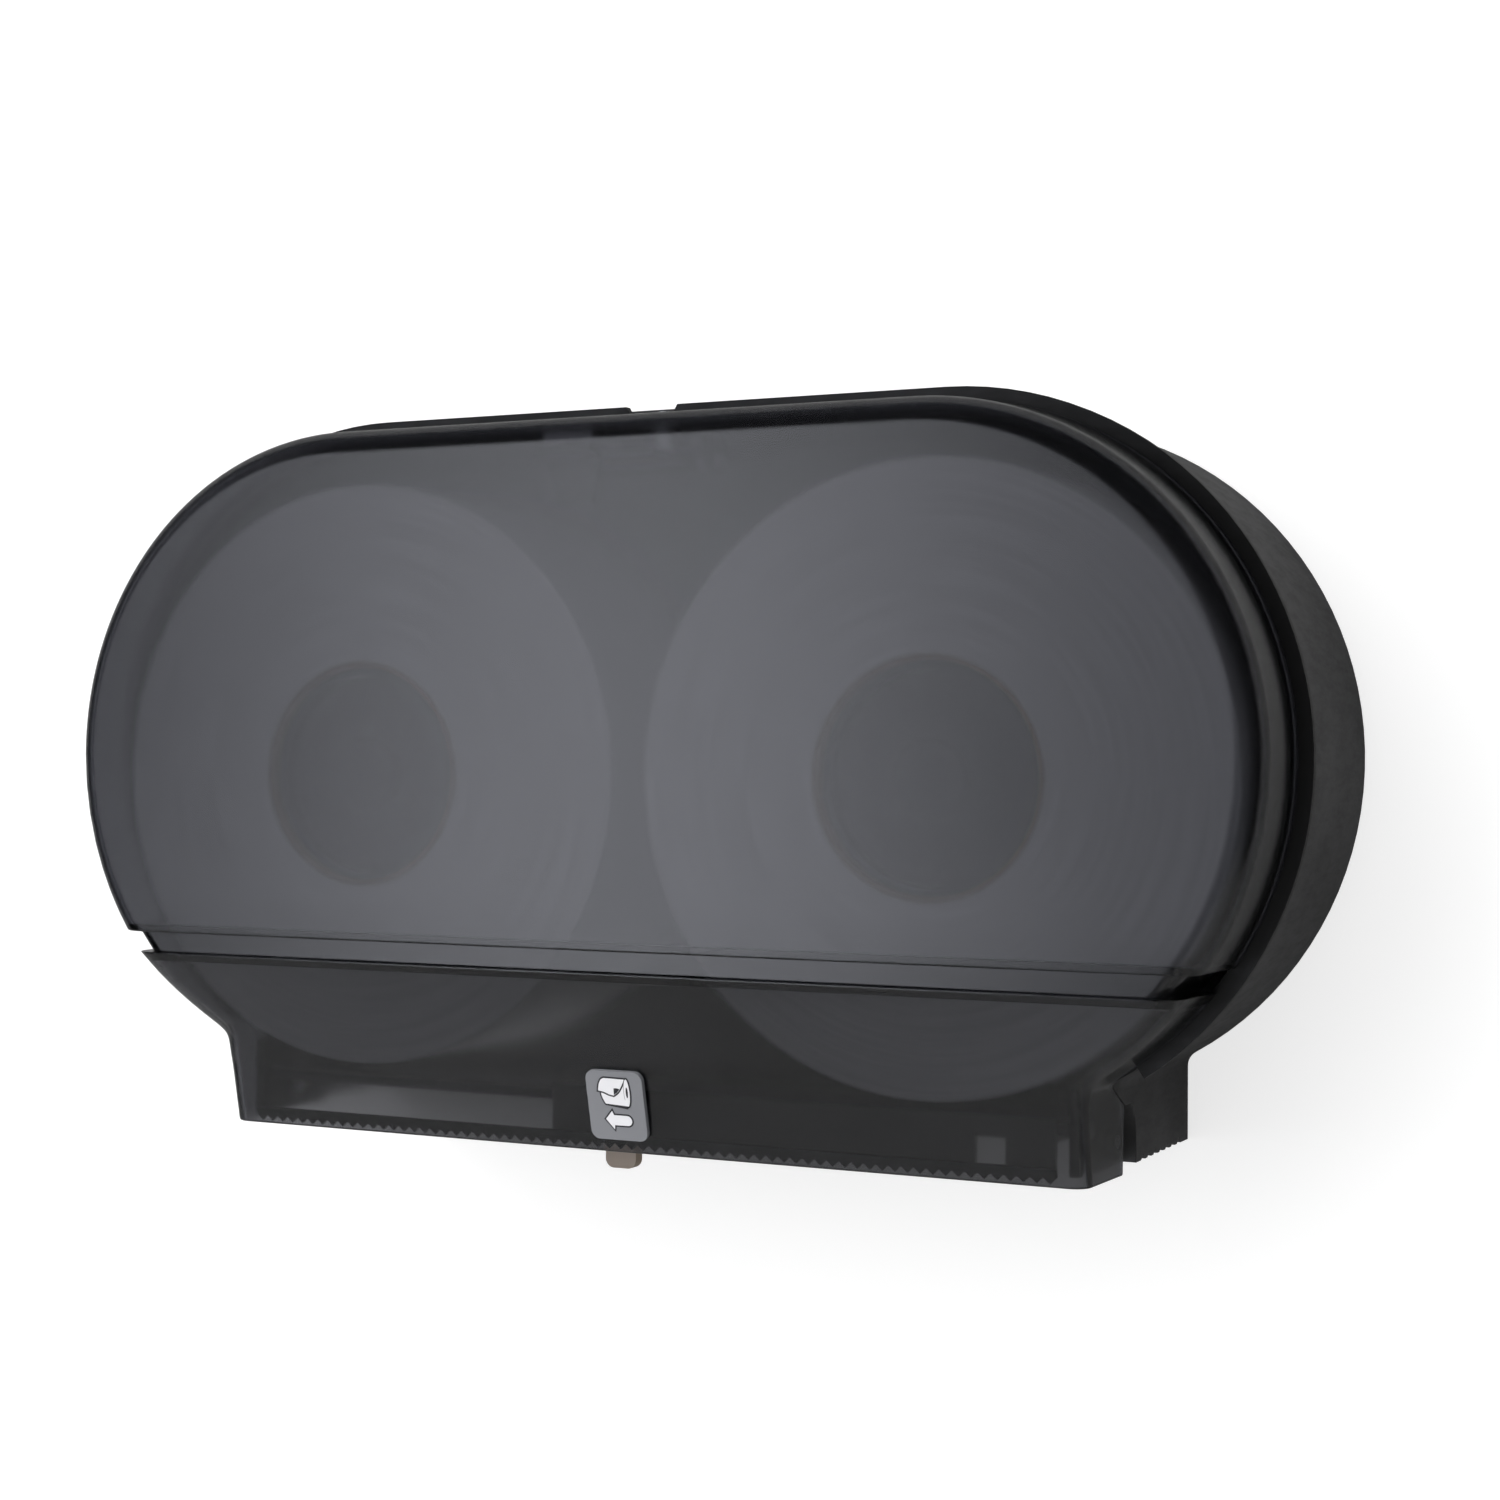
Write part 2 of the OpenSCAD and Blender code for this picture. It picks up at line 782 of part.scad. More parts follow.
module latch_pin() {
    color("silver") {
        bar_x(bracket_left, bracket_right, latch_front, latch_height, latch_pin_radius);
        for (place = [bracket_left - pin_washer, bracket_right])
            bar_x(place, place + pin_washer, latch_front, latch_height, latch_pin_radius + 1);
    }
}

// Section of the domed part of the cover as [radius, distance in front of its rear edge]
module dome_profile(inset, tail) {
    rear = cover_radius + cover_flare - inset;
    turn_start = cover_depth - edge_radius;
    polygon([
        [0, -tail], [rear, -tail], [rear, 0], [cover_radius - inset, turn_start],
        [cover_radius - edge_radius, cover_depth - inset], [0, cover_depth - inset]
    ]);
    translate([cover_radius - edge_radius, turn_start])
        circle(edge_radius - inset);
}

// The dome: half turns at both ends with the same section drawn out between them
module dome(inset, tail = 0) {
    for (s = side)
        translate([s * end_place, -cover_back, 0])
            rotate([90, s > 0 ? 90 : -90, 0])
                rotate_extrude(angle = 180)
                    dome_profile(inset, tail);
    translate([0, -cover_back, 0])
        across(-end_place, end_place)
            for (t = [0, 1])
                mirror([0, t])
                    rotate(90)
                        dome_profile(inset, tail);
}

// The skirt block, leaning back with its front face. It stands a little proud, and the front face
// trims it
module skirt_block(inset, rise, drop) {
    front = inset - skirt_proud;
    depth = skirt_front - seam_front + 2 * skirt_corner;
    corner = skirt_corner - inset;
    half_rear = skirt_half - inset;
    half_front = skirt_half - skirt_draft - inset;
    translate([0, -skirt_front, -cover_drop])
        rotate([skirt_tilt, 0, 0])
            translate([0, 0, -drop])
                linear_extrude(rise + drop) {
                    polygon([
                        [-half_rear, depth], [-half_front, front + corner],
                        [-half_front + corner, front], [half_front - corner, front],
                        [half_front, front + corner], [half_rear, depth]
                    ]);
                    for (s = side)
                        translate([s * (half_front - corner), front + corner])
                            circle(corner);
                }
}

// Everything behind the front face of the cover, moved back by a shift
module behind_front(shift, drop) {
    across(-far_out, far_out)
        polygon([
            [cut, cover_front], [shift - cover_front, cover_front],
            [shift - cover_front, -groove_bottom], [shift - fold_front, -fold_drop],
            [shift - skirt_front, -cover_drop],
            [shift - skirt_front, -cover_drop - drop], [cut, -cover_drop - drop]
        ]);
}

// Side view of the skirt block: it ends along the seam with the housing
module seam_zone() {
    slope = (seam_drop + seam_start) / (cover_back - seam_front);
    inside = 3 * sunk;
    across(-far_out, far_out)
        polygon([
            [-cover_front - cut, 0], [-cover_back - inside, 0],
            [-cover_back - inside, seam_start + inside * slope], [-seam_front, -seam_drop],
            [-seam_front, -2 * cover_drop], [-cover_front - cut, -2 * cover_drop]
        ]);
}

// The outer shape of the cover, without its groove
module cover_outside() {
    intersection() {
        union() {
            dome(0);
            intersection() {
                skirt_block(0, skirt_rise - 2 * sunk, 5 * cut);
                seam_zone();
            }
        }
        behind_front(0, 0);
    }
}

// The space inside the cover, without the inner side of its groove
module cover_inside() {
    intersection() {
        union() {
            dome(cover_wall, cut);
            skirt_block(cover_wall, skirt_rise + 2 * sunk, 15 * cut);
        }
        behind_front(inner_shift, 10 * cut);
    }
}

// A band across the cover outside a smaller dome: the groove, or the space its inner side takes
module groove_band(inset, margin) {
    difference() {
        translate([-far_out, -cover_front - cut, -groove_bottom - margin])
            cube([2 * far_out, cover_depth + 3 * cut, groove_height + 2 * margin]);
        dome(inset, 4 * cut);
    }
}

// The shell of the cover with its groove
module cover_shell() {
    difference() {
        cover_outside();
        difference() {
            cover_inside();
            groove_band(groove_depth + cover_wall, cover_wall);
        }
        groove_band(groove_depth, 0);
    }
}

// Everything between two heights. The cover is one moulding, drawn as dome, groove and apron, which
// are welded just over and just under the groove
module layer(top, bottom) {
    translate([-far_out, -far_out, -bottom])
        cube([2 * far_out, far_out, bottom - top]);
}

// The domed upper part of the cover
module front_cover() {
    color([0.3, 0.3, 0.32, 0.6])
        difference() {
            intersection() {
                cover_shell();
                layer(-far_out, band_top);
            }
            keeper_rivet_row(cover_bore(rivet_front) - cut, cover_bore(rivet_front) + rivet_radius);
        }
}

// The band of the cover that holds the groove
module cover_groove() {
    color([0.29, 0.29, 0.31, 0.6])
        intersection() {
            cover_shell();
            layer(band_top, band_bottom);
        }
}

// The lower part of the cover: sloped panel and skirt, with the bosses of the hinge
module cover_apron() {
    color([0.28, 0.28, 0.3, 0.6])
        difference() {
            union() {
                intersection() {
                    cover_shell();
                    layer(band_bottom, far_out);
                }
                both_ends()
                    bar_x(lug_outer + seam_gap, skirt_half - cover_wall / 2, hinge_front, -hinge_drop,
                        ear_radius);
            }
            both_ends()
                bar_x(lug_outer, skirt_half - cover_wall + pin_end_gap, hinge_front, -hinge_drop,
                    pin_radius + running_gap);
        }
}

// A flat outline with rounded corners, centred
module rounded(width, height, corner) {
    square([width - 2 * corner, height], center = true);
    square([width, height - 2 * corner], center = true);
    for (s = side, t = side)
        translate([s * (width / 2 - corner), t * (height / 2 - corner)])
            circle(corner);
}

// Lays a front view on the badge, whose back bridges the fold of the cover
module on_badge(near, far) {
    translate([0, -badge_top_front, -badge_drop])
        rotate([badge_tilt, 0, 0])
            from_wall(near, far)
                translate([0, -badge_height / 2])
                    children();
}

module badge_plate() {
    color([0.47, 0.48, 0.5])
        on_badge(badge_gap, badge_thickness)
            rounded(badge_width, badge_height, badge_corner);
}

// A paper roll seen at an angle with its loose end, and an arrow to the left below it
module badge_symbols() {
    roll_w = 0.42 * badge_width;
    roll_h = 0.3 * badge_height;
    roll_z = 0.18 * badge_height;
    arrow_z = -0.24 * badge_height;
    arrow_w = 0.46 * badge_width;
    arrow_h = 0.22 * badge_height;
    color("white")
        on_badge(badge_thickness, badge_thickness + symbol_relief) {
            difference() {
                union() {
                    translate([-roll_w / 2, roll_z - roll_h / 2])
                        square([roll_w, roll_h]);
                    translate([-roll_w / 2 - 1.6, roll_z - roll_h / 2 - 1.4])
                        square([roll_w * 0.55, roll_h * 0.7]);
                    translate([roll_w / 2 + 1, roll_z])
                        circle(roll_h / 2);
                }
                translate([roll_w / 2 + 1, roll_z])
                    difference() {
                        circle(roll_h * 0.34);
                        circle(roll_h * 0.2);
                    }
            }
            polygon([
                [-arrow_w / 2, arrow_z], [-arrow_w / 8, arrow_z + arrow_h / 2],
                [-arrow_w / 8, arrow_z + arrow_h / 5], [arrow_w / 2, arrow_z + arrow_h / 5],
                [arrow_w / 2, arrow_z - arrow_h / 5], [-arrow_w / 8, arrow_z - arrow_h / 5],
                [-arrow_w / 8, arrow_z - arrow_h / 2]
            ]);
        }
}

// The toothed strip inside the lower edge of the cover
module tear_bar() {
    half = skirt_half - skirt_draft - skirt_corner - 2;
    count = floor(2 * half / tooth_pitch);
    first = -count * tooth_pitch / 2;
    teeth = [for (i = [0:count - 1], t = [0, 0.5])
        [first + (i + t) * tooth_pitch, t > 0 ? tear_bar_rise : tear_bar_rise + tooth_depth]];
    color([0.16, 0.16, 0.165])
        translate([0, -skirt_front, -cover_drop])
            rotate([skirt_tilt, 0, 0])
                translate([0, inner_shift * cos(skirt_tilt) + tear_bar_gap, 0])
                    mirror([0, 1, 0])
                        from_wall(0, tear_bar_thickness)
                            polygon(concat(teeth, [
                                [-first, tear_bar_rise + tooth_depth],
                                [-first, tear_bar_rise + tooth_depth + tear_bar_root],
                                [first, tear_bar_rise + tooth_depth + tear_bar_root]
                            ]));
}

// Rivets of the keeper, or their holes
module keeper_rivet_row(low, high, radius = rivet_radius) {
    for (s = side)
        translate([tongue_place + s * tongue_width * 0.3, -rivet_front, low])
            cylinder(h = high - low, r = radius);
}

module cover_keeper() {
    half = tongue_width * 0.45;
    front_top = cover_bore(keeper_front) - keeper_gap;
    back_top = cover_bore(keeper_back) - keeper_gap;
    color("silver")
        difference() {
            across(tongue_place - half, tongue_place + half)
                polygon([
                    [-keeper_front, front_top], [-keeper_front, keeper_drop],
                    [-keeper_front + keeper_wall, keeper_drop],
                    [-keeper_front + keeper_wall, front_top - keeper_wall],
                    [-keeper_back, back_top - keeper_wall], [-keeper_back, back_top]
                ]);
            keeper_rivet_row(front_top - 2 * keeper_wall, back_top + cut, rivet_radius + rivet_play);
        }
}

module keeper_rivets() {
    low = cover_bore(keeper_front) - keeper_gap - keeper_wall - rivet_play;
    color("silver") {
        keeper_rivet_row(low, cover_bore(rivet_front) + rivet_radius - 0.2);
        keeper_rivet_row(low - rivet_head, low, 2 * rivet_radius);
    }
}

module shutter_panel() {
    inner = shutter_front - shutter_wall;
    lip_low = rail_drop - slide_gap;
    lip_high = lip_low - shutter_wall;
    hook_front = rail_front - rail_depth - slide_gap;
    hook_back = hook_front - shutter_wall;
    notch_left = shutter_right - shutter_notch_place - shutter_notch_width / 2;
    color([0.2, 0.19, 0.18, 0.8])
        difference() {
            across(shutter_left, shutter_right)
                polygon([
                    [-shutter_front, -shutter_drop], [-inner, -shutter_drop],
                    [-inner, -shelf_bottom], [-shutter_back, -shelf_bottom],
                    [-shutter_back, -shelf_top], [-inner, -shelf_top], [-inner, -lip_low],
                    [-hook_front, -lip_low], [-hook_front, -lip_low - hook_height],
                    [-hook_back, -lip_low - hook_height], [-hook_back, -lip_high],
                    [-shutter_front, -lip_high]
                ]);
            translate([notch_left, -shutter_front - cut, -shutter_drop - cut])
                cube([shutter_notch_width, shutter_wall + 2 * cut, shutter_notch_height + cut]);
        }
}

// A tab with a round lower end, under the shutter
module shutter_handle() {
    place = shutter_left + handle_place;
    half = handle_width / 2;
    color([0.55, 0.5, 0.45])
        translate([place, 0, 0])
            from_wall(handle_front - handle_thickness / 2, handle_front + handle_thickness / 2) {
                translate([-half, -handle_drop + handle_corner])
                    square([handle_width, handle_drop - handle_corner - shelf_bottom]);
                translate([handle_corner - half, -handle_drop])
                    square([handle_width - 2 * handle_corner, handle_corner + sunk]);
                for (s = side)
                    translate([s * (half - handle_corner), -handle_drop + handle_corner])
                        circle(handle_corner);
            }
}

// The drum that a roll sits on, with a collar behind it and a web near its front
module hub(place) {
    bore = axle_radius + running_gap;
    color([0.12, 0.12, 0.13])
        turned(place, roll_drop) {
            translate([bore, foot_front + end_play])
                square([hub_wall, axle_length - foot_front - 2 * end_play]);
            translate([bore, collar_back])
                square([collar_radius - bore, hub_wall]);
            translate([hub_radius - hub_wall, collar_back])
                square([hub_wall, roll_front - drum_inset - collar_back]);
            translate([bore, roll_front - web_inset])
                square([hub_radius - bore, hub_wall]);
        }
}

module hub_left() {
    hub(-end_place);
}

module hub_right() {
    hub(end_place);
}

module core(place) {
    color([0.62, 0.5, 0.36])
        turned(place, roll_drop)
            translate([core_bore / 2, roll_back])
                square([core_wall, roll_width]);
}

module core_left() {
    core(-end_place);
}

module core_right() {
    core(end_place);
}

module paper(place) {
    color("white")
        turned(place, roll_drop)
            translate([core_radius + 0.05, roll_back])
                square([roll_radius - core_radius - 0.05, roll_width]);
}

module paper_left() {
    paper(-end_place);
}

module paper_right() {
    paper(end_place);
}

module latch_lever() {
    tip = nose_top - tongue_height;
    color([0.1, 0.1, 0.105])
        difference() {
            union() {
                bar_x(lever_left, lever_right, latch_front, latch_height, lever_boss);
                across(lever_left, lever_right)
                    polygon([
                        [-latch_front, lever_top], [-latch_front, lever_bottom],
                        [-head_back, lever_bottom], [-head_back, lever_top]
                    ]);
                // Head with the nose that hooks over the keeper
                across(lever_left, lever_left + tongue_width)
                    polygon([
                        [sunk / 10 - head_back, lever_top], [sunk / 10 - head_back, lever_bottom],
                        [-nose_front, lever_bottom + head_slant],
                        [-nose_front, nose_top - nose_bevel], [-nose_front + nose_bevel, nose_top],
                        [-nose_front + nose_thickness, nose_top],
                        [-nose_front + nose_thickness, lever_top]
                    ]);
                // Tongue
                from_wall(head_back - tongue_thickness, head_back)
                    polygon([
                        [lever_left, lever_top], [lever_left + tongue_width, lever_top],
                        [tongue_place + tongue_tip_width / 2, tip],
                        [tongue_place - tongue_tip_width / 2, tip]
                    ]);
            }
            bar_x(lever_left - cut, lever_right + cut, latch_front, latch_height,
                latch_pin_radius + running_gap);
        }
}

// A coil round the latch pin, its ends turned along the pin
module latch_spring() {
    wire = 0.45;
    sides = 6;
    steps = 8 * spring_turns;
    coil = latch_pin_radius + 0.5 + wire;
    start = lever_right + 0.4 + wire;
    climb = (spring_room - 0.8 - 2 * wire) / steps;
    ring = function(i, j)
        let (turn = i * 45, lean = j * 360 / sides, radius = coil + wire * cos(lean))
            [start + i * climb + wire * sin(lean), radius * cos(turn), radius * sin(turn)];
    least = climb * 8 - 2 * wire;
    points = [for (i = [0:steps], j = [0:sides - 1]) ring(i, j)];
    walls = [for (i = [0:steps - 1], j = [0:sides - 1], half = [0, 1])
        let (a = i * sides + j, b = i * sides + (j + 1) % sides)
            half == 0 ? [a, b, b + sides] : [a, b + sides, a + sides]];
    caps = [for (j = [1:sides - 2], end = [0, 1])
        end == 0 ? [0, j + 1, j] : [steps * sides, steps * sides + j, steps * sides + j + 1]];
    echo("least gap between the turns of the latch spring", least);
    color("silver")
        translate([0, -latch_front, latch_height])
            polyhedron(points, concat(walls, caps));
}

module release_pin() {
    top = housing_radius + release_rise;
    collar_top = roof - release_collar_gap;
    color([0.75, 0.75, 0.76])
        translate([release_place, -release_front, 0]) {
            translate([0, 0, lever_top + release_gap])
                cylinder(h = top - lever_top - release_gap, r = release_radius);
            translate([0, 0, collar_top - release_collar])
                cylinder(h = release_collar, r = release_radius + release_collar_step);
        }
}

back_housing();
shutter_rail();
rail_screws();
hinge_pins();
axle_left();
axle_right();
axle_screws();
axle_cap_left();
axle_cap_right();
latch_bracket();
bracket_screws();
latch_pin();
front_cover();
cover_groove();
cover_apron();
badge_plate();
badge_symbols();
tear_bar();
cover_keeper();
keeper_rivets();
shutter_panel();
shutter_handle();
hub_left();
core_left();
paper_left();
hub_right();
core_right();
paper_right();
latch_lever();
latch_spring();
release_pin();
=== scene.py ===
import math
import random

import bmesh
import bpy
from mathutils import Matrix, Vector


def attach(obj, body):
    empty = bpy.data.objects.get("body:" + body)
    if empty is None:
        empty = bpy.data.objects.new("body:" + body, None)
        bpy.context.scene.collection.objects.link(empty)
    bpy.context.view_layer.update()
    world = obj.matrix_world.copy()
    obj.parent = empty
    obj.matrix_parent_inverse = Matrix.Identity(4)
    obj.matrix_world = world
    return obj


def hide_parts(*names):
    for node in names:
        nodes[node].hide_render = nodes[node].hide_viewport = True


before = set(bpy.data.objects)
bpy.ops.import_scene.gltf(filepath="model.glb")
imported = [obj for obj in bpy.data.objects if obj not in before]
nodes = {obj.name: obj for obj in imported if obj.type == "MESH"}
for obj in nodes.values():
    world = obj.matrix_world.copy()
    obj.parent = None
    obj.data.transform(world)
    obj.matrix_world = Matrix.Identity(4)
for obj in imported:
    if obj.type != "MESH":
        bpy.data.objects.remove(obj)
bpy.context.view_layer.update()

scene = bpy.context.scene

# ---------------------------------------------------------------- sizes in millimetres
MM = 0.001
END = 119.3            # distance from the middle to the centre of each round end
FACE = -130.0          # flat front of the cover
REAR = -92.4           # rear edge of the dome
RADIUS = 125.4         # radius of the round ends where the side meets the rounded edge
FLARE = 1.9            # how much wider the dome is at its rear
EDGE = 10.0            # radius of the rounded edge
WALL = 2.6             # thickness of the cover
GROOVE = 4.5           # depth of the groove
GROOVE_TOP, GROOVE_BOTTOM = -70.7, -78.8
FOLD = -121.5          # height of the bend between the sloped panel and the skirt
FOLD_FACE, FOOT_FACE = -116.3, -111.2
FOLD_REACH = 3.0       # the bend is softened this far above and below
FOLD_WINDOW, FOLD_STEPS = 2.4, 9
FOOT = -146.4          # lower edge of the skirt
SKIRT = 179.3          # half the width of the skirt at its front
SKIRT_DRAFT = 1.9      # how much wider it is at its rear
SKIRT_DEPTH = 41.8
SKIRT_START = -85.0    # the skirt's sides show only below this height
CORNER = 7.0           # radius of the upright corners of the skirt
CORNER_FROM, CORNER_TO = 108, 122
SEAM_Y = -76.4         # rear edge of the skirt's sides
SEAM_TOP, SEAM_BOTTOM = -112.8, -121.6
BLEND = 5.0            # softness of the inner corner between a round end and the skirt
PAPER_RADIUS, PAPER_BORE = 113.0, 43.65
PAPER_BACK, PAPER_FRONT = -19.6, -109.0
AXLE_DROP = 7.0        # how far the roll axes lie below the centres of the round ends
HOUSING_FRONT = -84.0  # the rim and the lip stand in front of this
HOUSING_INNER = 126.5  # between the inner and the outer radius of the housing's wall

# ---------------------------------------------------------------- camera
CAMERA_AZIMUTH, CAMERA_ROLL = 26.36, -0.2
camera = bpy.data.objects.new("camera", bpy.data.cameras.new("camera"))
scene.collection.objects.link(camera)
camera.data.sensor_width = 36
camera.data.lens = 61.78
camera.data.clip_start = 0.02
camera.location = (0.4640, -0.9439, 0.0027)
camera.rotation_euler = (math.radians(90), math.radians(CAMERA_ROLL), math.radians(CAMERA_AZIMUTH))
scene.camera = camera


# ---------------------------------------------------------------- node helpers
class Graph:
    """A short way to write shader nodes."""

    def __init__(self, tree):
        self.tree = tree

    def node(self, kind, **settings):
        new = self.tree.nodes.new(kind)
        for key, value in settings.items():
            if key.startswith("_"):
                setattr(new, key[1:], value)
            else:
                socket = new.inputs[int(key[1:]) if key[0] == "i" and key[1:].isdigit() else key]
                if isinstance(value, bpy.types.NodeSocket):
                    self.tree.links.new(value, socket)
                else:
                    socket.default_value = value
        return new

    def math(self, operation, a, b=0.0):
        return self.node("ShaderNodeMath", _operation=operation, i0=a, i1=b).outputs[0]

    def ramp(self, value, low, high, out_low=0.0, out_high=1.0):
        """A smooth step from out_low to out_high while value goes from low to high."""
        return self.node("ShaderNodeMapRange", _interpolation_type="SMOOTHSTEP", Value=value,
                         **{"From Min": low, "From Max": high,
                            "To Min": out_low, "To Max": out_high}).outputs[0]

    def within(self, value, low, high, soft):
        """1 where value lies between two limits."""
        return self.math("MULTIPLY", self.ramp(value, low, low + soft),
                         self.ramp(value, high - soft, high, 1.0, 0.0))

    def mix(self, factor, a, b):
        """Goes from colour a to colour b, each a colour or a socket."""
        new = self.node("ShaderNodeMix", _data_type="RGBA")
        for index, value in ((0, factor), (6, a), (7, b)):
            if isinstance(value, bpy.types.NodeSocket):
                self.tree.links.new(value, new.inputs[index])
            else:
                new.inputs[index].default_value = value if index == 0 else (*value, 1)
        return new.outputs[2]

    def place(self, scale=(1, 1, 1)):
        coordinates = self.node("ShaderNodeTexCoord").outputs["Object"]
        if tuple(scale) == (1, 1, 1):
            return coordinates
        return self.node("ShaderNodeMapping", Vector=coordinates, Scale=scale).outputs[0]

    def noise(self, scale, detail=3.0, rough=0.55, vector=None):
        return self.node("ShaderNodeTexNoise", Vector=vector or self.place(), Scale=scale,
                         Detail=detail, Roughness=rough).outputs[0]


def shader(name):
    """A new material: its graph and its Principled shader."""
    material = bpy.data.materials.new(name)
    material.use_nodes = True
    graph = Graph(material.node_tree)
    return material, graph, material.node_tree.nodes["Principled BSDF"]


def wire(graph, bsdf, **sockets):
    for name, value in sockets.items():
        socket = bsdf.inputs[name.replace("_", " ")]
        if isinstance(value, bpy.types.NodeSocket):
            graph.tree.links.new(value, socket)
        else:
            socket.default_value = (*value, 1) if isinstance(value, tuple) and len(value) == 3 else value


# ---------------------------------------------------------------- materials
MOULDED_IOR, CLEAR_IOR = 1.46, 1.49


def moulded(name, colour, rough, bump=0.06, spread=0.25, edge=None):
    """Moulded plastic: fine grain, faint clouding, and scuffs that change the roughness."""
    material, graph, bsdf = shader(name)
    cloud = graph.noise(22.0, 4.0)
    fine = graph.noise(900.0, 2.0)
    low = tuple(c * (1 - spread) for c in colour)
    high = tuple(min(1.0, c * (1 + spread)) for c in colour)
    tint = graph.mix(graph.ramp(cloud, 0.3, 0.7), low, high)
    scuff = graph.noise(75.0, 6.0, 0.7, graph.place((1.0, 1.0, 3.5)))
    gloss = graph.ramp(scuff, 0.35, 0.75, rough * 0.9, min(1.0, rough * 1.12))
    normal = graph.node("ShaderNodeBump", Strength=bump, Distance=0.0004, Height=fine)
    if edge:
        soft = graph.node("ShaderNodeBevel", _samples=4, Radius=edge)
        graph.tree.links.new(soft.outputs[0], normal.inputs["Normal"])
    wire(graph, bsdf, Base_Color=tint, Roughness=gloss, Normal=normal.outputs[0], IOR=MOULDED_IOR)
    return material


def chassis(name, outside, inside, rim_shade):
    """The moulded housing: satin black outside, its rim in front painted near black as painted shade, and its
    inside painted lighter as painted light.
    """
    material = moulded(name, outside, 0.5, edge=0.0006)
    graph = Graph(material.node_tree)
    bsdf = material.node_tree.nodes["Principled BSDF"]
    plain = bsdf.inputs["Base Color"].links[0].from_socket
    x, y, z = graph.node("ShaderNodeSeparateXYZ", Vector=graph.place()).outputs
    beyond = graph.math("MAXIMUM", graph.math("SUBTRACT", graph.math("ABSOLUTE", x), END * MM), 0.0)
    radius = graph.math("SQRT", graph.math("ADD", graph.math("MULTIPLY", beyond, beyond),
                                           graph.math("MULTIPLY", z, z)))
    within = graph.ramp(radius, (HOUSING_INNER - 0.3) * MM, (HOUSING_INNER + 0.3) * MM, 1.0, 0.0)
    # behind: 1 behind HOUSING_FRONT; in front of it the rim gets a painted shade
    behind = graph.ramp(y, (HOUSING_FRONT - 0.5) * MM, (HOUSING_FRONT + 0.5) * MM)
    ahead = graph.ramp(y, -1.5 * MM, -1.0 * MM, 1.0, 0.0)
    within = graph.math("MULTIPLY", within, ahead)
    # Painted light: the inner side of the wall is painted lighter, standing in for the light that falls
    # inside the case
    colour = graph.mix(graph.math("MULTIPLY", within, behind), plain, inside)
    # Painted shade: the rim in front of HOUSING_FRONT is painted near black for the shade in the gap behind
    # the cover
    colour = graph.mix(behind, rim_shade, colour)
    graph.tree.links.new(colour, bsdf.inputs["Base Color"])
    return material


def metal(name, colour, rough):
    """Plated or satin metal with fine drawn lines."""
    material, graph, bsdf = shader(name)
    lines = graph.noise(260.0, 3.0, 0.6, graph.place((1, 1, 30)))
    cloud = graph.noise(120.0, 3.0)
    tint = graph.mix(graph.ramp(cloud, 0.3, 0.75), tuple(c * 0.86 for c in colour), colour)
    gloss = graph.ramp(lines, 0.3, 0.7, rough * 0.8, rough * 1.3)
    normal = graph.node("ShaderNodeBump", Strength=0.15, Distance=0.0002, Height=lines)
    wire(graph, bsdf, Base_Color=tint, Roughness=gloss, Normal=normal.outputs[0], Metallic=1.0)
    return material


def smoked(name, tint, rough, clear, bump=0.02, spread=0.06):
    """Smoked translucent plastic: clouded tint and a faint ripple."""
    material, graph, bsdf = shader(name)
    cloud = graph.noise(14.0, 3.0)
    low = tuple(c * (1 - spread) for c in tint)
    high = tuple(c * (1 + spread) for c in tint)
    colour = graph.mix(graph.ramp(cloud, 0.3, 0.7), low, high)
    speck = graph.noise(500.0, 3.0)
    gloss = graph.ramp(speck, 0.3, 0.7, rough * 0.92, rough * 1.08)
    ripple = graph.node("ShaderNodeBump", Strength=bump, Distance=0.0006, Height=graph.noise(30.0, 2.0))
    wire(graph, bsdf, Base_Color=colour, Roughness=gloss, Normal=ripple.outputs[0], IOR=CLEAR_IOR)
    bsdf.inputs["Transmission Weight"].default_value = clear
    return material


def deepen(material, density, colour):
    """Light fades on its way through the plastic, so that edges seen along the wall turn black."""
    tree = material.node_tree
    fade = tree.nodes.new("ShaderNodeVolumeAbsorption")
    fade.inputs["Color"].default_value = (*colour, 1)
    fade.inputs["Density"].default_value = density
    tree.links.new(fade.outputs[0], tree.nodes["Material Output"].inputs["Volume"])


def paint_groove_shade(material, groove_shade_share):
    """Painted shade: the floor of the groove is given a darker colour, so it lets less light through than the
    face around it.
    """
    graph = Graph(material.node_tree)
    bsdf = material.node_tree.nodes["Principled BSDF"]
    plain = bsdf.inputs["Base Color"].links[0].from_socket
    _, y, z = graph.node("ShaderNodeSeparateXYZ", Vector=graph.place()).outputs
    soft = 0.3 * MM
    within = graph.within(z, (GROOVE_BOTTOM - 0.1) * MM, (GROOVE_TOP + 0.1) * MM, soft)
    within = graph.math("MULTIPLY", within, graph.ramp(y, (FACE + 1.5) * MM, (FACE + 2) * MM))
    # painted shade: the groove's floor gets the darker colour
    colour = graph.mix(within, plain, (groove_shade_share, groove_shade_share, groove_shade_share * 1.03))
    graph.tree.links.new(colour, bsdf.inputs["Base Color"])


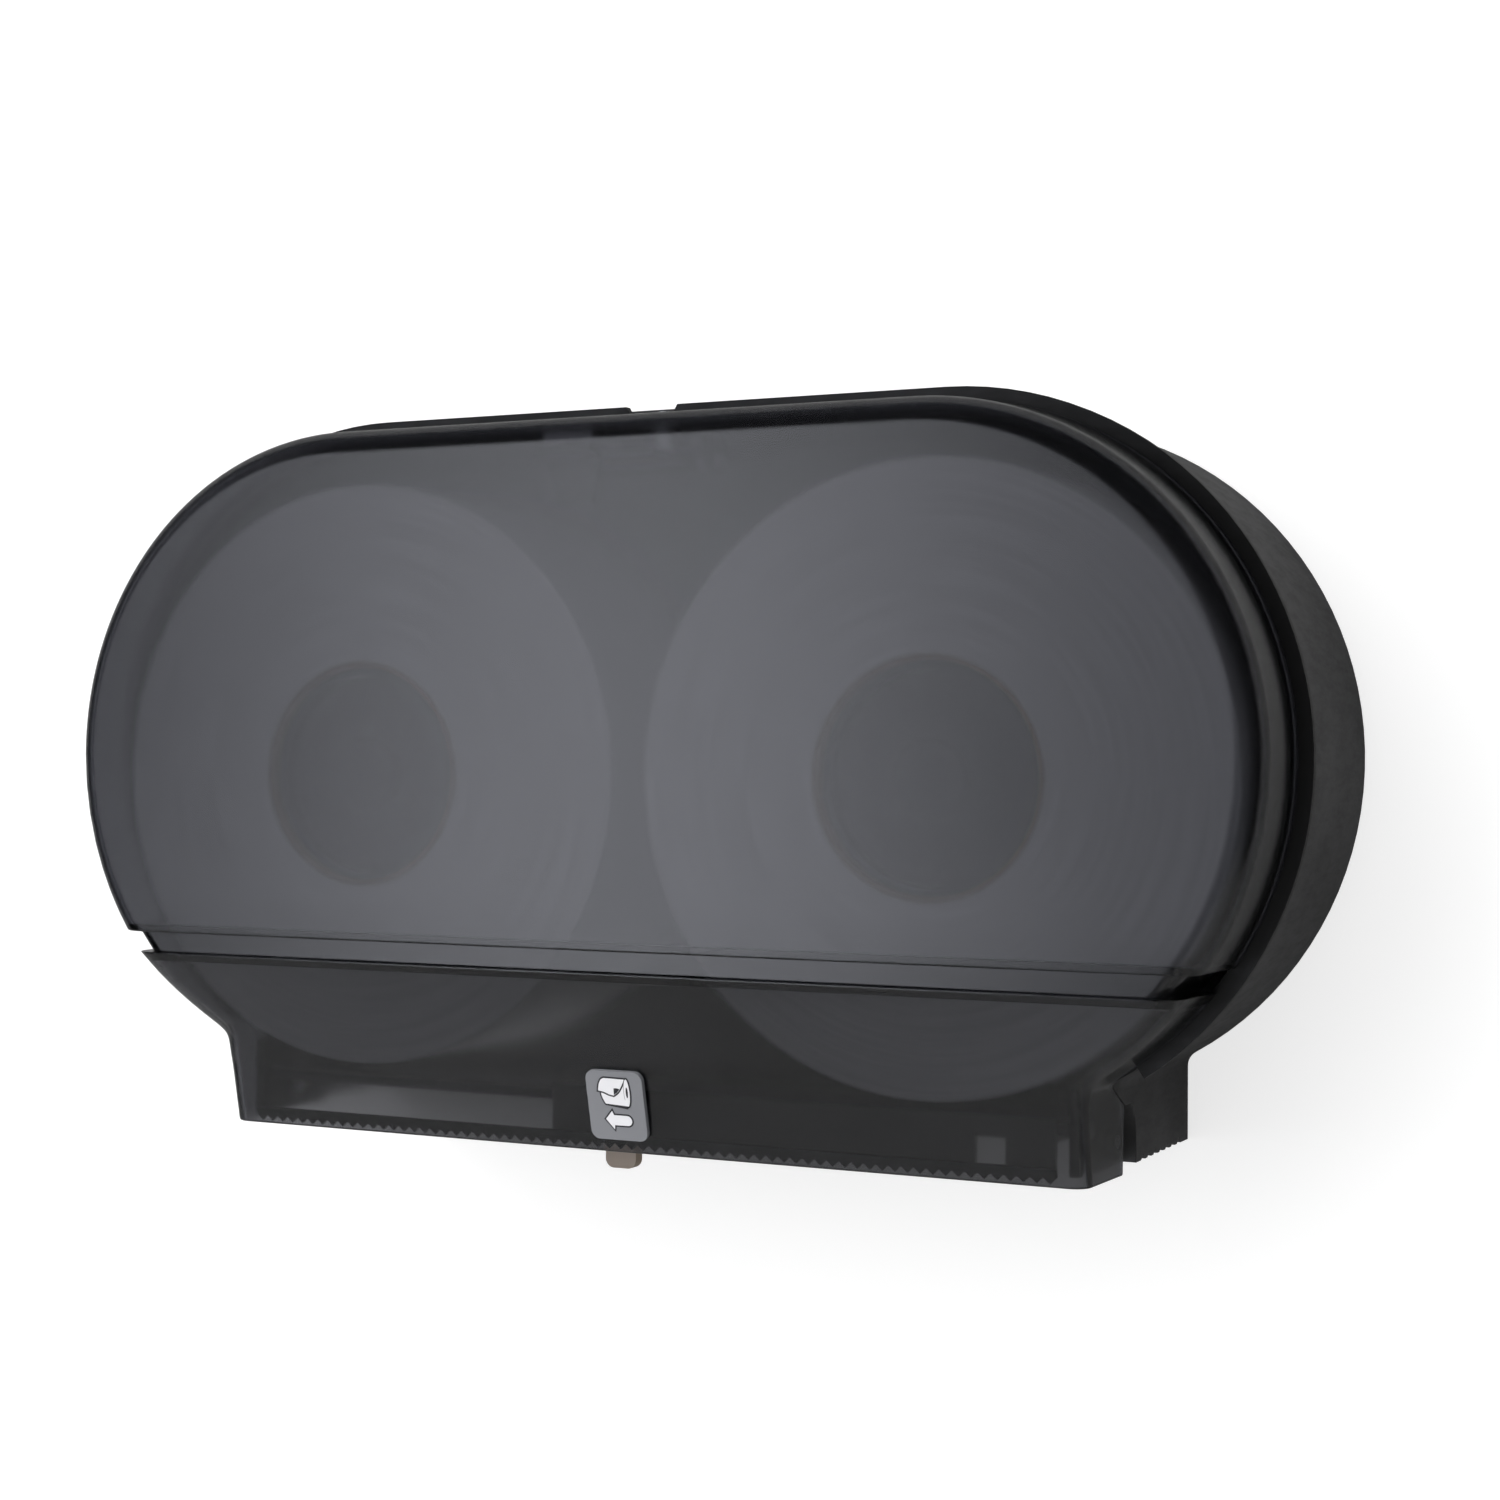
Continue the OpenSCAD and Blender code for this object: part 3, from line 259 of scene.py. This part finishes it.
def tissue(name, axis_x, axis_z):
    """Wound tissue: fine rings on the ends and its crepe; the outside of the roll is painted grey as painted
    shade.
    """
    material, graph, bsdf = shader(name)
    place = graph.node("ShaderNodeSeparateXYZ", Vector=graph.place()).outputs
    x = graph.math("SUBTRACT", place[0], axis_x)
    z = graph.math("SUBTRACT", place[2], axis_z)
    radius = graph.math("SQRT", graph.math("ADD", graph.math("MULTIPLY", x, x), graph.math("MULTIPLY", z, z)))
    turn = graph.math("ARCTAN2", z, x)
    drift = graph.node("ShaderNodeCombineXYZ", X=graph.math("MULTIPLY", radius, 900.0),
                       Y=graph.math("MULTIPLY", turn, 1.2), Z=0.0).outputs[0]
    rings = graph.noise(1.0, 4.0, 0.65, drift)
    crepe = graph.noise(420.0, 3.0, 0.6, graph.place((1, 0.3, 1)))
    height = graph.math("ADD", rings, graph.math("MULTIPLY", crepe, 0.5))
    tint = graph.mix(graph.ramp(rings, 0.32, 0.68), (0.74, 0.74, 0.735), (0.88, 0.88, 0.875))
    # Painted shade: the outside of the roll is painted grey
    outside = graph.ramp(radius, (PAPER_RADIUS - 1.2) * MM, (PAPER_RADIUS - 0.4) * MM)
    tint = graph.mix(outside, tint, (0.5, 0.5, 0.5))
    normal = graph.node("ShaderNodeBump", Strength=0.5, Distance=0.0005, Height=height)
    wire(graph, bsdf, Base_Color=tint, Roughness=0.92, Normal=normal.outputs[0])
    bsdf.inputs["Sheen Weight"].default_value = 0.15
    return material


def board(name):
    """Grey-brown core board with fine fibres."""
    material, graph, bsdf = shader(name)
    fibre = graph.noise(700.0, 5.0, 0.7, graph.place((1, 6, 1)))
    tint = graph.mix(graph.ramp(fibre, 0.3, 0.7), (0.27, 0.19, 0.12), (0.42, 0.31, 0.2))
    normal = graph.node("ShaderNodeBump", Strength=0.4, Distance=0.0004, Height=fibre)
    wire(graph, bsdf, Base_Color=tint, Roughness=0.88, Normal=normal.outputs[0])
    return material


# outside colour, inside painted lighter (painted light), rim painted near black (painted shade)
housing_black = chassis("housing_black", (0.037, 0.037, 0.038), (0.13, 0.13, 0.133), (0.005, 0.005, 0.005))
inside_black = moulded("inside_black", (0.02, 0.02, 0.022), 0.5)
gloss_black = moulded("gloss_black", (0.012, 0.012, 0.013), 0.32)
dark_grey = moulded("dark_grey", (0.12, 0.12, 0.125), 0.45)
zinc = metal("zinc", (0.62, 0.62, 0.64), 0.28)
satin = metal("satin", (0.78, 0.78, 0.8), 0.3)
badge_grey = moulded("badge_grey", (0.225, 0.23, 0.248), 0.42, bump=0.03, spread=0.04)
badge_white = moulded("badge_white", (0.84, 0.84, 0.87), 0.4, bump=0.02, spread=0.02)
badge_ink = moulded("badge_ink", (0.015, 0.015, 0.02), 0.45, bump=0.02, spread=0.1)
shutter_smoke = smoked("shutter_smoke", (0.05, 0.047, 0.05), 0.3, 0.55)
handle_brown = smoked("handle_brown", (0.42, 0.33, 0.25), 0.35, 0.45)
cover_smoke = smoked("cover_smoke", (0.93, 0.93, 0.95), 0.185, 1.0, bump=0.004, spread=0.02)
deepen(cover_smoke, 400.0, (0.0, 0.01, 0.06))
# painted shade on the floor of the groove
paint_groove_shade(cover_smoke, 0.3)
core_board = board("core_board")

FINISH = {
    "back_housing": housing_black, "shutter_rail": inside_black, "rail_screws": zinc,
    "hinge_pins": zinc, "axle_left": dark_grey, "axle_right": dark_grey, "axle_screws": zinc,
    "axle_cap_left": gloss_black, "axle_cap_right": gloss_black, "latch_bracket": inside_black,
    "bracket_screws": zinc, "latch_pin": zinc, "badge_plate": badge_grey,
    "tear_bar": inside_black, "cover_keeper": zinc, "keeper_rivets": zinc,
    "shutter_panel": shutter_smoke, "shutter_handle": handle_brown, "hub_left": gloss_black,
    "hub_right": gloss_black, "core_left": core_board, "core_right": core_board,
    "latch_lever": gloss_black, "latch_spring": zinc, "release_pin": satin,
}
for name, material in FINISH.items():
    node = nodes[name]
    node.data.materials.clear()
    node.data.materials.append(material)


# ---------------------------------------------------------------- mesh helper
def solid(name, points, faces, material, smooth=True):
    """A mesh object from points in millimetres."""
    mesh = bpy.data.meshes.new(name)
    mesh.from_pydata([tuple(c * MM for c in p) for p in points], [], faces)
    mesh.materials.append(material)
    mesh.polygons.foreach_set("use_smooth", [smooth] * len(mesh.polygons))
    obj = bpy.data.objects.new(name, mesh)
    scene.collection.objects.link(obj)
    mesh.update()
    return obj


# ---------------------------------------------------------------- cover
def smoothstep(value, low, high):
    t = max(0.0, min(1.0, (value - low) / (high - low)))
    return t * t * (3 - 2 * t)


def front_at(z):
    """Y of the front of the cover at a height, with soft bends."""
    def plain(h):
        if h >= GROOVE_BOTTOM:
            return FACE
        if h >= FOLD:
            return FACE + (FOLD_FACE - FACE) * (h - GROOVE_BOTTOM) / (FOLD - GROOVE_BOTTOM)
        return FOLD_FACE + (FOOT_FACE - FOLD_FACE) * (h - FOLD) / (FOOT - FOLD)
    if abs(z - FOLD) > FOLD_REACH:
        return plain(z)
    return sum(plain(z + FOLD_WINDOW * (i / (FOLD_STEPS - 1) - 0.5)) for i in range(FOLD_STEPS)) / FOLD_STEPS


def rear_at(z):
    if z >= SEAM_TOP:
        return REAR
    if z <= SEAM_BOTTOM:
        return SEAM_Y
    return REAR + (SEAM_Y - REAR) * (z - SEAM_TOP) / (SEAM_BOTTOM - SEAM_TOP)


def dome_radius(y):
    turn = FACE + EDGE
    return RADIUS + FLARE * max(0.0, (y - turn) / (REAR - turn))


WALL_STEPS, EDGE_STEPS = 6, 14
FACE_RADII = [98, 80, 60, 40, 20, 0]     # rings of points on the flat of a round end
STRAIGHT = [END * (1 - i / 8) for i in range(1, 9)]
ARC_STEPS = 40


def section(z, inset):
    """One half of a horizontal slice of the cover at a height: [x, y] from the rear to the middle."""
    front = front_at(z) + inset
    mix = smoothstep(-z, CORNER_FROM, CORNER_TO)
    edge = max(EDGE + (CORNER - EDGE) * mix - inset, 0.4)
    turn = front + edge
    out = []

    def side(y, step_in):
        radius = dome_radius(min(y, REAR)) - inset - step_in
        round_x = END + math.sqrt(max(radius * radius - z * z, 0.0))
        behind = max(0.0, (y - inset) - (front_at(z) + CORNER))
        skirt_x = SKIRT + SKIRT_DRAFT * behind / SKIRT_DEPTH - inset - step_in
        gap = round_x - skirt_x
        if z > SKIRT_START:
            return round_x
        return (round_x + skirt_x + math.sqrt(gap * gap + BLEND * BLEND)) / 2

    rear = rear_at(z)
    for i in range(WALL_STEPS):
        y = rear + (turn - rear) * i / WALL_STEPS
        out.append((side(y, 0), y))
    for i in range(EDGE_STEPS + 1):
        a = math.radians(90 * i / EDGE_STEPS)
        out.append((side(turn, edge * (1 - math.cos(a))), front + edge * (1 - math.sin(a))))
    limit = out[-1][0]
    first = END + RADIUS - EDGE
    for radius in FACE_RADII:
        out.append((limit * (END + radius) / first, front))
    for x in STRAIGHT:
        out.append((limit * x / first, front))
    return out


def rows(inner):
    """(height, inset) of the slices below the middle."""
    plain = [0, -12, -24, -36, -46, -54, -60, -64]
    if inner:
        top, bottom, skin = GROOVE_TOP + WALL, GROOVE_BOTTOM - WALL, WALL
    else:
        top, bottom, skin = GROOVE_TOP, GROOVE_BOTTOM, 0.0
    deep = skin + GROOVE
    groove = [(top + 0.9, skin), (top + 0.35, skin + 0.04), (top + 0.1, skin + 0.22), (top, skin + 0.6),
              (top, deep - 0.6), (top - 0.12, deep - 0.2), (top - 0.5, deep),
              (bottom + 0.5, deep), (bottom + 0.12, deep - 0.2), (bottom, deep - 0.6),
              (bottom, skin + 0.6), (bottom - 0.1, skin + 0.22), (bottom - 0.35, skin + 0.04),
              (bottom - 0.9, skin)]
    lower = [-83, -87, -91, -95, -99, -103, -106, -108, -110, -111.4, -112.6, -113.8, -115, -116.4, -117.6,
             -118.8, -119.8, -120.3, -120.9, -121.5, -122.1, -122.7, -124, -127, -131, -136, -141, -144]
    foot = [(-145.4, skin), (-145.9, skin + 0.1), (-146.2, skin + 0.3), (FOOT, skin + 0.7)]
    if inner:
        foot = [(z, skin - s) for (z, _), s in zip(foot, (0.0, 0.1, 0.3, 0.7))]
    return [(z, skin) for z in plain] + groove + [(z, skin) for z in lower] + foot


def cover_mesh():
    points, faces = [], []

    def add(grid, flip):
        base = len(points)
        width = len(grid[0])
        for row in grid:
            points.extend(row)
        for i in range(len(grid) - 1):
            for j in range(width - 1):
                a, b = base + i * width + j, base + (i + 1) * width + j
                quad = (a, b, b + 1, a + 1)
                faces.append(quad[::-1] if flip else quad)
        return base, width, len(grid)

    borders = []
    for inner in (False, True):
        skin = WALL if inner else 0.0
        lower = []
        for z, inset in rows(inner):
            half = section(z, inset)
            lower.append([(x, y, z) for x, y in half] + [(-x, y, z) for x, y in half[-2::-1]])
        profile = section(0.0, skin)[:WALL_STEPS + EDGE_STEPS + 1 + len(FACE_RADII)]
        upper = []
        for j in range(ARC_STEPS + 1):
            a = math.radians(90 * j / ARC_STEPS)
            upper.append([(END + (x - END) * math.cos(a), y, (x - END) * math.sin(a)) for x, y in profile])
        scale = profile[WALL_STEPS + EDGE_STEPS][0] / (END + RADIUS - EDGE)
        for x in [x * scale for x in STRAIGHT] + [-x * scale for x in STRAIGHT[-2::-1]]:
            upper.append([(x, y, px - END) for px, y in profile])
        for j in range(ARC_STEPS + 1):
            a = math.radians(90 + 90 * j / ARC_STEPS)
            upper.append([(-END + (x - END) * math.cos(a), y, (x - END) * math.sin(a)) for x, y in profile])
        borders.append((add(upper, inner), add(lower, not inner)))

    (up_out, low_out), (up_in, low_in) = borders
    (o, width, count), (i, _, _) = up_out, up_in
    for r in range(count - 1):
        faces.append((o + r * width, i + r * width, i + (r + 1) * width, o + (r + 1) * width)[::-1])
    (o, width, count), (i, _, _) = low_out, low_in
    for r in range(count - 1):
        faces.append((o + r * width, i + r * width, i + (r + 1) * width, o + (r + 1) * width))
        faces.append((o + (r + 1) * width - 1, o + (r + 2) * width - 1,
                      i + (r + 2) * width - 1, i + (r + 1) * width - 1)[::-1])
    last = (count - 1) * width
    for c in range(width - 1):
        faces.append((o + last + c, i + last + c, i + last + c + 1, o + last + c + 1))

    cover = solid("cover_moulding", points, faces, cover_smoke)
    tidy_mesh(cover)
    return cover


def tidy_mesh(obj, distance=2e-6, sharp=40):
    """Joins the sheets of a mesh into one closed skin with outward normals."""
    work = bmesh.new()
    work.from_mesh(obj.data)
    bmesh.ops.remove_doubles(work, verts=work.verts, dist=distance)
    bmesh.ops.dissolve_degenerate(work, edges=work.edges, dist=1e-7)
    bmesh.ops.recalc_face_normals(work, faces=work.faces)
    work.to_mesh(obj.data)
    work.free()
    obj.data.set_sharp_from_angle(angle=math.radians(sharp))
    weigh = obj.modifiers.new("weighted", "WEIGHTED_NORMAL")
    weigh.keep_sharp = True


cover = cover_mesh()
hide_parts("front_cover", "cover_groove", "cover_apron")
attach(cover, "cover")


# ---------------------------------------------------------------- turned pieces
def turned(name, axis_x, axis_z, profile, material, steps):
    """A closed ring turned round an axis along Y from a closed profile of [radius, y]."""
    points, faces = [], []
    count = len(profile)
    for s in range(steps):
        a = 2 * math.pi * s / steps
        for radius, y in profile:
            points.append((axis_x + radius * math.cos(a), y, axis_z + radius * math.sin(a)))
    for s in range(steps):
        t = (s + 1) % steps
        for k in range(count):
            n = (k + 1) % count
            faces.append((s * count + k, s * count + n, t * count + n, t * count + k))
    return solid(name, points, faces, material)


draw = random.Random(7)


def paper_profile():
    """The section of a roll: the layers stand out unevenly by a few tenths of a millimetre."""
    profile = [(PAPER_BORE, PAPER_BACK - 0.5), (PAPER_BORE, PAPER_FRONT + 0.6)]
    radius = PAPER_BORE + 0.5
    while radius < PAPER_RADIUS - 2.5:
        profile.append((radius, PAPER_FRONT + 0.12 + 0.25 * draw.random()))
        radius += 1.6 + 1.4 * draw.random()
    profile += [(PAPER_RADIUS - 1.6, PAPER_FRONT + 0.1), (PAPER_RADIUS - 0.6, PAPER_FRONT + 0.4),
                (PAPER_RADIUS - 0.1, PAPER_FRONT + 1.2)]
    profile += [(PAPER_RADIUS - 0.1 - 0.08 * (i % 2), PAPER_FRONT + (PAPER_BACK - PAPER_FRONT) * i / 12)
                for i in range(1, 12)]
    profile += [(PAPER_RADIUS - 0.1, PAPER_BACK - 1.2), (PAPER_RADIUS - 0.6, PAPER_BACK - 0.4),
                (PAPER_RADIUS - 1.6, PAPER_BACK - 0.1)]
    radius = PAPER_RADIUS - 4
    while radius > PAPER_BORE + 2:
        profile.append((radius, PAPER_BACK - 0.12 - 0.25 * draw.random()))
        radius -= 3.2 + 2.0 * draw.random()
    return profile


for side, sign in (("left", -1), ("right", 1)):
    tissue_look = tissue("tissue_" + side, sign * END * MM, -AXLE_DROP * MM)
    roll = turned("wound_tissue_" + side, sign * END, -AXLE_DROP, paper_profile(), tissue_look, 160)
    tidy_mesh(roll, sharp=60)
    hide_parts("paper_" + side)
    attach(roll, side + "_roll")


# ---------------------------------------------------------------- hinge bosses of the cover
HINGE_Y, HINGE_Z = -80.0, -134.0
# section of the right boss: [distance from the hinge line, x]
EAR = [(2.56, 174.35), (5.75, 174.35), (6.0, 174.6), (6.0, 178.5), (2.56, 178.5), (2.56, 174.35)]
points, faces, turns = [], [], 48
for mirror in (1, -1):
    base = len(points)
    for step in range(turns):
        angle = 2 * math.pi * step / turns
        for radius, x in EAR[:-1]:
            points.append((mirror * x, HINGE_Y + radius * math.cos(angle),
                           HINGE_Z + radius * math.sin(angle)))
    count = len(EAR) - 1
    for step in range(turns):
        here, there = base + step * count, base + (step + 1) % turns * count
        for k in range(count):
            faces.append((here + k, here + (k + 1) % count, there + (k + 1) % count, there + k))
ears = solid("cover_hinge_bosses", points, faces, cover_smoke)
tidy_mesh(ears)
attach(ears, "cover")


# ---------------------------------------------------------------- badge
BADGE_H = 26.6
BADGE_TOP = (-118.387, -115.0)          # y and z of the upper edge of the plate's back
BADGE_TILT = math.radians(13.33)


def on_badge(u, v, lift):
    """A point on the badge: u to the right and v up from its middle, lift from its back."""
    z = v - BADGE_H / 2
    return (u, BADGE_TOP[0] - lift * math.cos(BADGE_TILT) - z * math.sin(BADGE_TILT),
            BADGE_TOP[1] - lift * math.sin(BADGE_TILT) + z * math.cos(BADGE_TILT))


def spread(outline, by):
    """The outline moved outward by a distance."""
    out, count = [], len(outline)
    area = sum(outline[i - 1][0] * outline[i][1] - outline[i][0] * outline[i - 1][1] for i in range(count))
    way = 1 if area > 0 else -1
    for i in range(count):
        (ax, ay), (bx, by_), (cx, cy) = outline[i - 1], outline[i], outline[(i + 1) % count]
        first = Vector((by_ - ay, ax - bx)).normalized() * way
        second = Vector((cy - by_, bx - cx)).normalized() * way
        both = first + second
        both = both / max(both.length_squared / 2, 0.5)
        out.append((bx + both.x * by, by_ + both.y * by))
    return out


def plates(name, layers, material):
    """Thin flat plates on the badge, each from an outline, a lower and an upper level."""
    points, faces = [], []
    for outline, low, high in layers:
        base, count = len(points), len(outline)
        points += [on_badge(u, v, low) for u, v in outline] + [on_badge(u, v, high) for u, v in outline]
        faces.append(tuple(range(base, base + count)))
        faces.append(tuple(range(base + 2 * count - 1, base + count - 1, -1)))
        faces += [(base + i, base + (i + 1) % count, base + count + (i + 1) % count, base + count + i)
                  for i in range(count)]
    piece = solid(name, points, faces, material, smooth=False)
    tidy_flat(piece)
    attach(piece, "cover")
    return piece


def tidy_flat(obj):
    """Turns the faces outward."""
    work = bmesh.new()
    work.from_mesh(obj.data)
    bmesh.ops.recalc_face_normals(work, faces=work.faces)
    work.to_mesh(obj.data)
    work.free()


def oval(u, v, half_u, half_v, steps=40):
    return [(u + half_u * math.cos(2 * math.pi * i / steps), v + half_v * math.sin(2 * math.pi * i / steps))
            for i in range(steps)]


def curve(*knots, steps=8):
    """A smooth line through points, without the last one."""
    out = []
    for i in range(len(knots) - 1):
        p0, p1, p2, p3 = (knots[max(i - 1, 0)], knots[i], knots[i + 1], knots[min(i + 2, len(knots) - 1)])
        for s in range(steps):
            t = s / steps
            out.append(tuple(0.5 * (2 * b + (c - a) * t + (2 * a - 5 * b + 4 * c - d) * t * t
                                    + (3 * b - a - 3 * c + d) * t ** 3)
                             for a, b, c, d in zip(p0, p1, p2, p3)))
    return out


# The drawing, in millimetres from the middle of the plate
SHEET = (curve((-4.1, 10.7), (4.5, 10.55))
         + curve((4.5, 10.55), (3.7, 8.9), (2.6, 7.1), (1.3, 5.4), (-0.5, 4.1))
         + curve((-0.5, 4.1), (-2.4, 4.45), (-4.6, 5.3), (-6.9, 5.7))
         + curve((-6.9, 5.7), (-6.3, 8.2), (-5.3, 10.0), (-4.1, 10.7)))
BODY = (curve((-5.9, 6.2), (-5.6, 3.6), (-4.6, 1.3), (-4.1, 0.7)) + [(-4.1, 0.7), (4.9, 0.2)]
        + curve((4.9, 0.2), (4.0, 2.8), (3.8, 5.2), (4.0, 8.0), (4.7, 10.5)) + [(4.7, 10.5), (1.0, 10.0)])
END_OVAL = oval(5.15, 5.4, 1.15, 5.25)
CORE_OVAL = oval(5.2, 5.5, 0.42, 2.1, 24)
CURL = (curve((-0.2, 6.9), (1.0, 7.0), (2.2, 6.7)) + curve((2.2, 6.7), (1.2, 5.45), (-0.35, 4.35))
        + [(-0.35, 4.35)])
ARROW = ([(-4.9, -5.3), (-2.0, -2.0), (-1.35, -3.6)] + [(3.9, -3.6)]
         + [(4.1 + 1.95 * math.cos(math.radians(a)), -5.55 + 1.95 * math.sin(math.radians(a)))
            for a in range(80, -91, -10)] + [(-1.35, -7.5), (-1.6, -9.2)])
INK = 0.6              # how far the dark outlines stand round the white shapes
plates("badge_outlines", [(spread(shape, INK), 1.98, 2.06) for shape in (BODY, END_OVAL, ARROW)]
       + [(spread(SHEET, INK), 1.98, 2.14), (CORE_OVAL, 2.0, 2.22), (CURL, 2.0, 2.22)], badge_ink)
picture = plates("badge_picture", [(BODY, 2.0, 2.1), (END_OVAL, 2.0, 2.18), (ARROW, 2.0, 2.12),
                                   (SHEET, 2.0, 2.18)], badge_white)
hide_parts("badge_symbols")


# ---------------------------------------------------------------- stage
def softbox(graph, direction, azimuth, elevation, half_wide, half_high, edge_wide, edge_high, strength):
    """Light from a soft-edged rectangle of the surroundings, seen in a direction."""
    az, el = math.radians(azimuth), math.radians(elevation)
    ahead = Vector((math.sin(az) * math.cos(el), -math.cos(az) * math.cos(el), math.sin(el)))
    across = Vector((math.cos(az), math.sin(az), 0))
    up = across.cross(ahead)
    up = up if up.z > 0 else -up

    def along(axis):
        return graph.node("ShaderNodeVectorMath", _operation="DOT_PRODUCT", i0=direction,
                          i1=tuple(axis)).outputs["Value"]

    depth = graph.math("MAXIMUM", along(ahead), 0.001)
    inside = graph.ramp(along(ahead), 0.02, 0.1)
    for axis, half, edge in ((across, half_wide, edge_wide), (up, half_high, edge_high)):
        offset = graph.math("ABSOLUTE", graph.math("DIVIDE", along(axis), depth))
        inside = graph.math("MULTIPLY", inside, graph.ramp(offset, half, half + edge, 1.0, 0.0))
    return graph.math("MULTIPLY", inside, strength)


world = bpy.data.worlds.new("studio")
scene.world = world
world.use_nodes = True
world.cycles.sampling_method = "NONE"
sky = Graph(world.node_tree)
heading = sky.node("ShaderNodeTexCoord").outputs["Generated"]
path = sky.node("ShaderNodeLightPath").outputs
# What glossy surfaces reflect, and what lights everything else:
# azimuth, elevation, half width, half height, soft edges across and up, strength
REFLECTED = ((-29.5, -6, 0.03, 0.15, 0.2, 0.35, 2.9), (-25, -12, 0.08, 0.36, 0.45, 0.3, 0.85))
SHINING = ((-45, 22, 0.3, 0.3, 0.5, 0.5, 3.0), (0, 88, 0.3, 0.3, 0.7, 0.7, 2.6))
REFLECTED_BASE, SHINING_BASE = 0.02, 0.5
WALL_GLOW = 0.675      # what the camera sees of the wall in full shadow
WALL_WIDE, WALL_TALL, FLOOR_DROP = 3000, 2500, 1200


def gather(base, boxes):
    total = base
    for box in boxes:
        total = sky.math("ADD", total, softbox(sky, heading, *box))
    return total


# White behind the object and through its clear pieces, soft studio light on everything else
through = sky.math("MAXIMUM", path["Is Camera Ray"], path["Is Transmission Ray"])
mirrored = sky.math("MULTIPLY", path["Is Glossy Ray"], sky.math("SUBTRACT", 1.0, through))
light = sky.math("ADD", sky.math("MULTIPLY", gather(REFLECTED_BASE, REFLECTED), mirrored),
                 sky.math("MULTIPLY", gather(SHINING_BASE, SHINING), sky.math("SUBTRACT", 1.0, mirrored)))
seen = sky.math("ADD", sky.math("MULTIPLY", light, sky.math("SUBTRACT", 1.0, through)), through)
background = world.node_tree.nodes["Background"]
tint = sky.mix(mirrored, (1, 1, 1), (0.95, 0.97, 1.06))
world.node_tree.links.new(tint, background.inputs["Color"])
world.node_tree.links.new(seen, background.inputs["Strength"])

# The wall: white from the front, and not there for light from behind or for views from the back
plain, graph, _ = shader("wall_white")
plain.node_tree.nodes.clear()
path = graph.node("ShaderNodeLightPath").outputs
back = graph.node("ShaderNodeNewGeometry").outputs["Backfacing"]
shown = graph.math("MULTIPLY", graph.math("MAXIMUM", path["Is Camera Ray"], path["Is Glossy Ray"]),
                   graph.math("SUBTRACT", 1.0, back))
paint = graph.node("ShaderNodeBsdfDiffuse",
                   Color=graph.mix(path["Is Camera Ray"], (0.33, 0.33, 0.33), (0.46, 0.46, 0.46)))
glow = graph.node("ShaderNodeEmission", Color=(1, 1, 1, 1),
                  Strength=graph.math("MULTIPLY", path["Is Camera Ray"], WALL_GLOW))
lit = graph.node("ShaderNodeAddShader", i0=paint.outputs[0], i1=glow.outputs[0])
clear = graph.node("ShaderNodeBsdfTransparent")
both = graph.node("ShaderNodeMixShader", i0=shown, i1=clear.outputs[0], i2=lit.outputs[0])
graph.node("ShaderNodeOutputMaterial", Surface=both.outputs[0])

wall = solid("wall", [(-WALL_WIDE, 1.0, -FLOOR_DROP), (WALL_WIDE, 1.0, -FLOOR_DROP),
                      (WALL_WIDE, 1.0, WALL_TALL), (-WALL_WIDE, 1.0, WALL_TALL)],
             [(0, 1, 2, 3)], plain, smooth=False)
floor = solid("floor", [(-WALL_WIDE, -WALL_WIDE, -FLOOR_DROP), (WALL_WIDE, -WALL_WIDE, -FLOOR_DROP),
                        (WALL_WIDE, 1.0, -FLOOR_DROP), (-WALL_WIDE, 1.0, -FLOOR_DROP)],
              [(0, 1, 2, 3)], plain, smooth=False)

scene.view_settings.view_transform = "Standard"
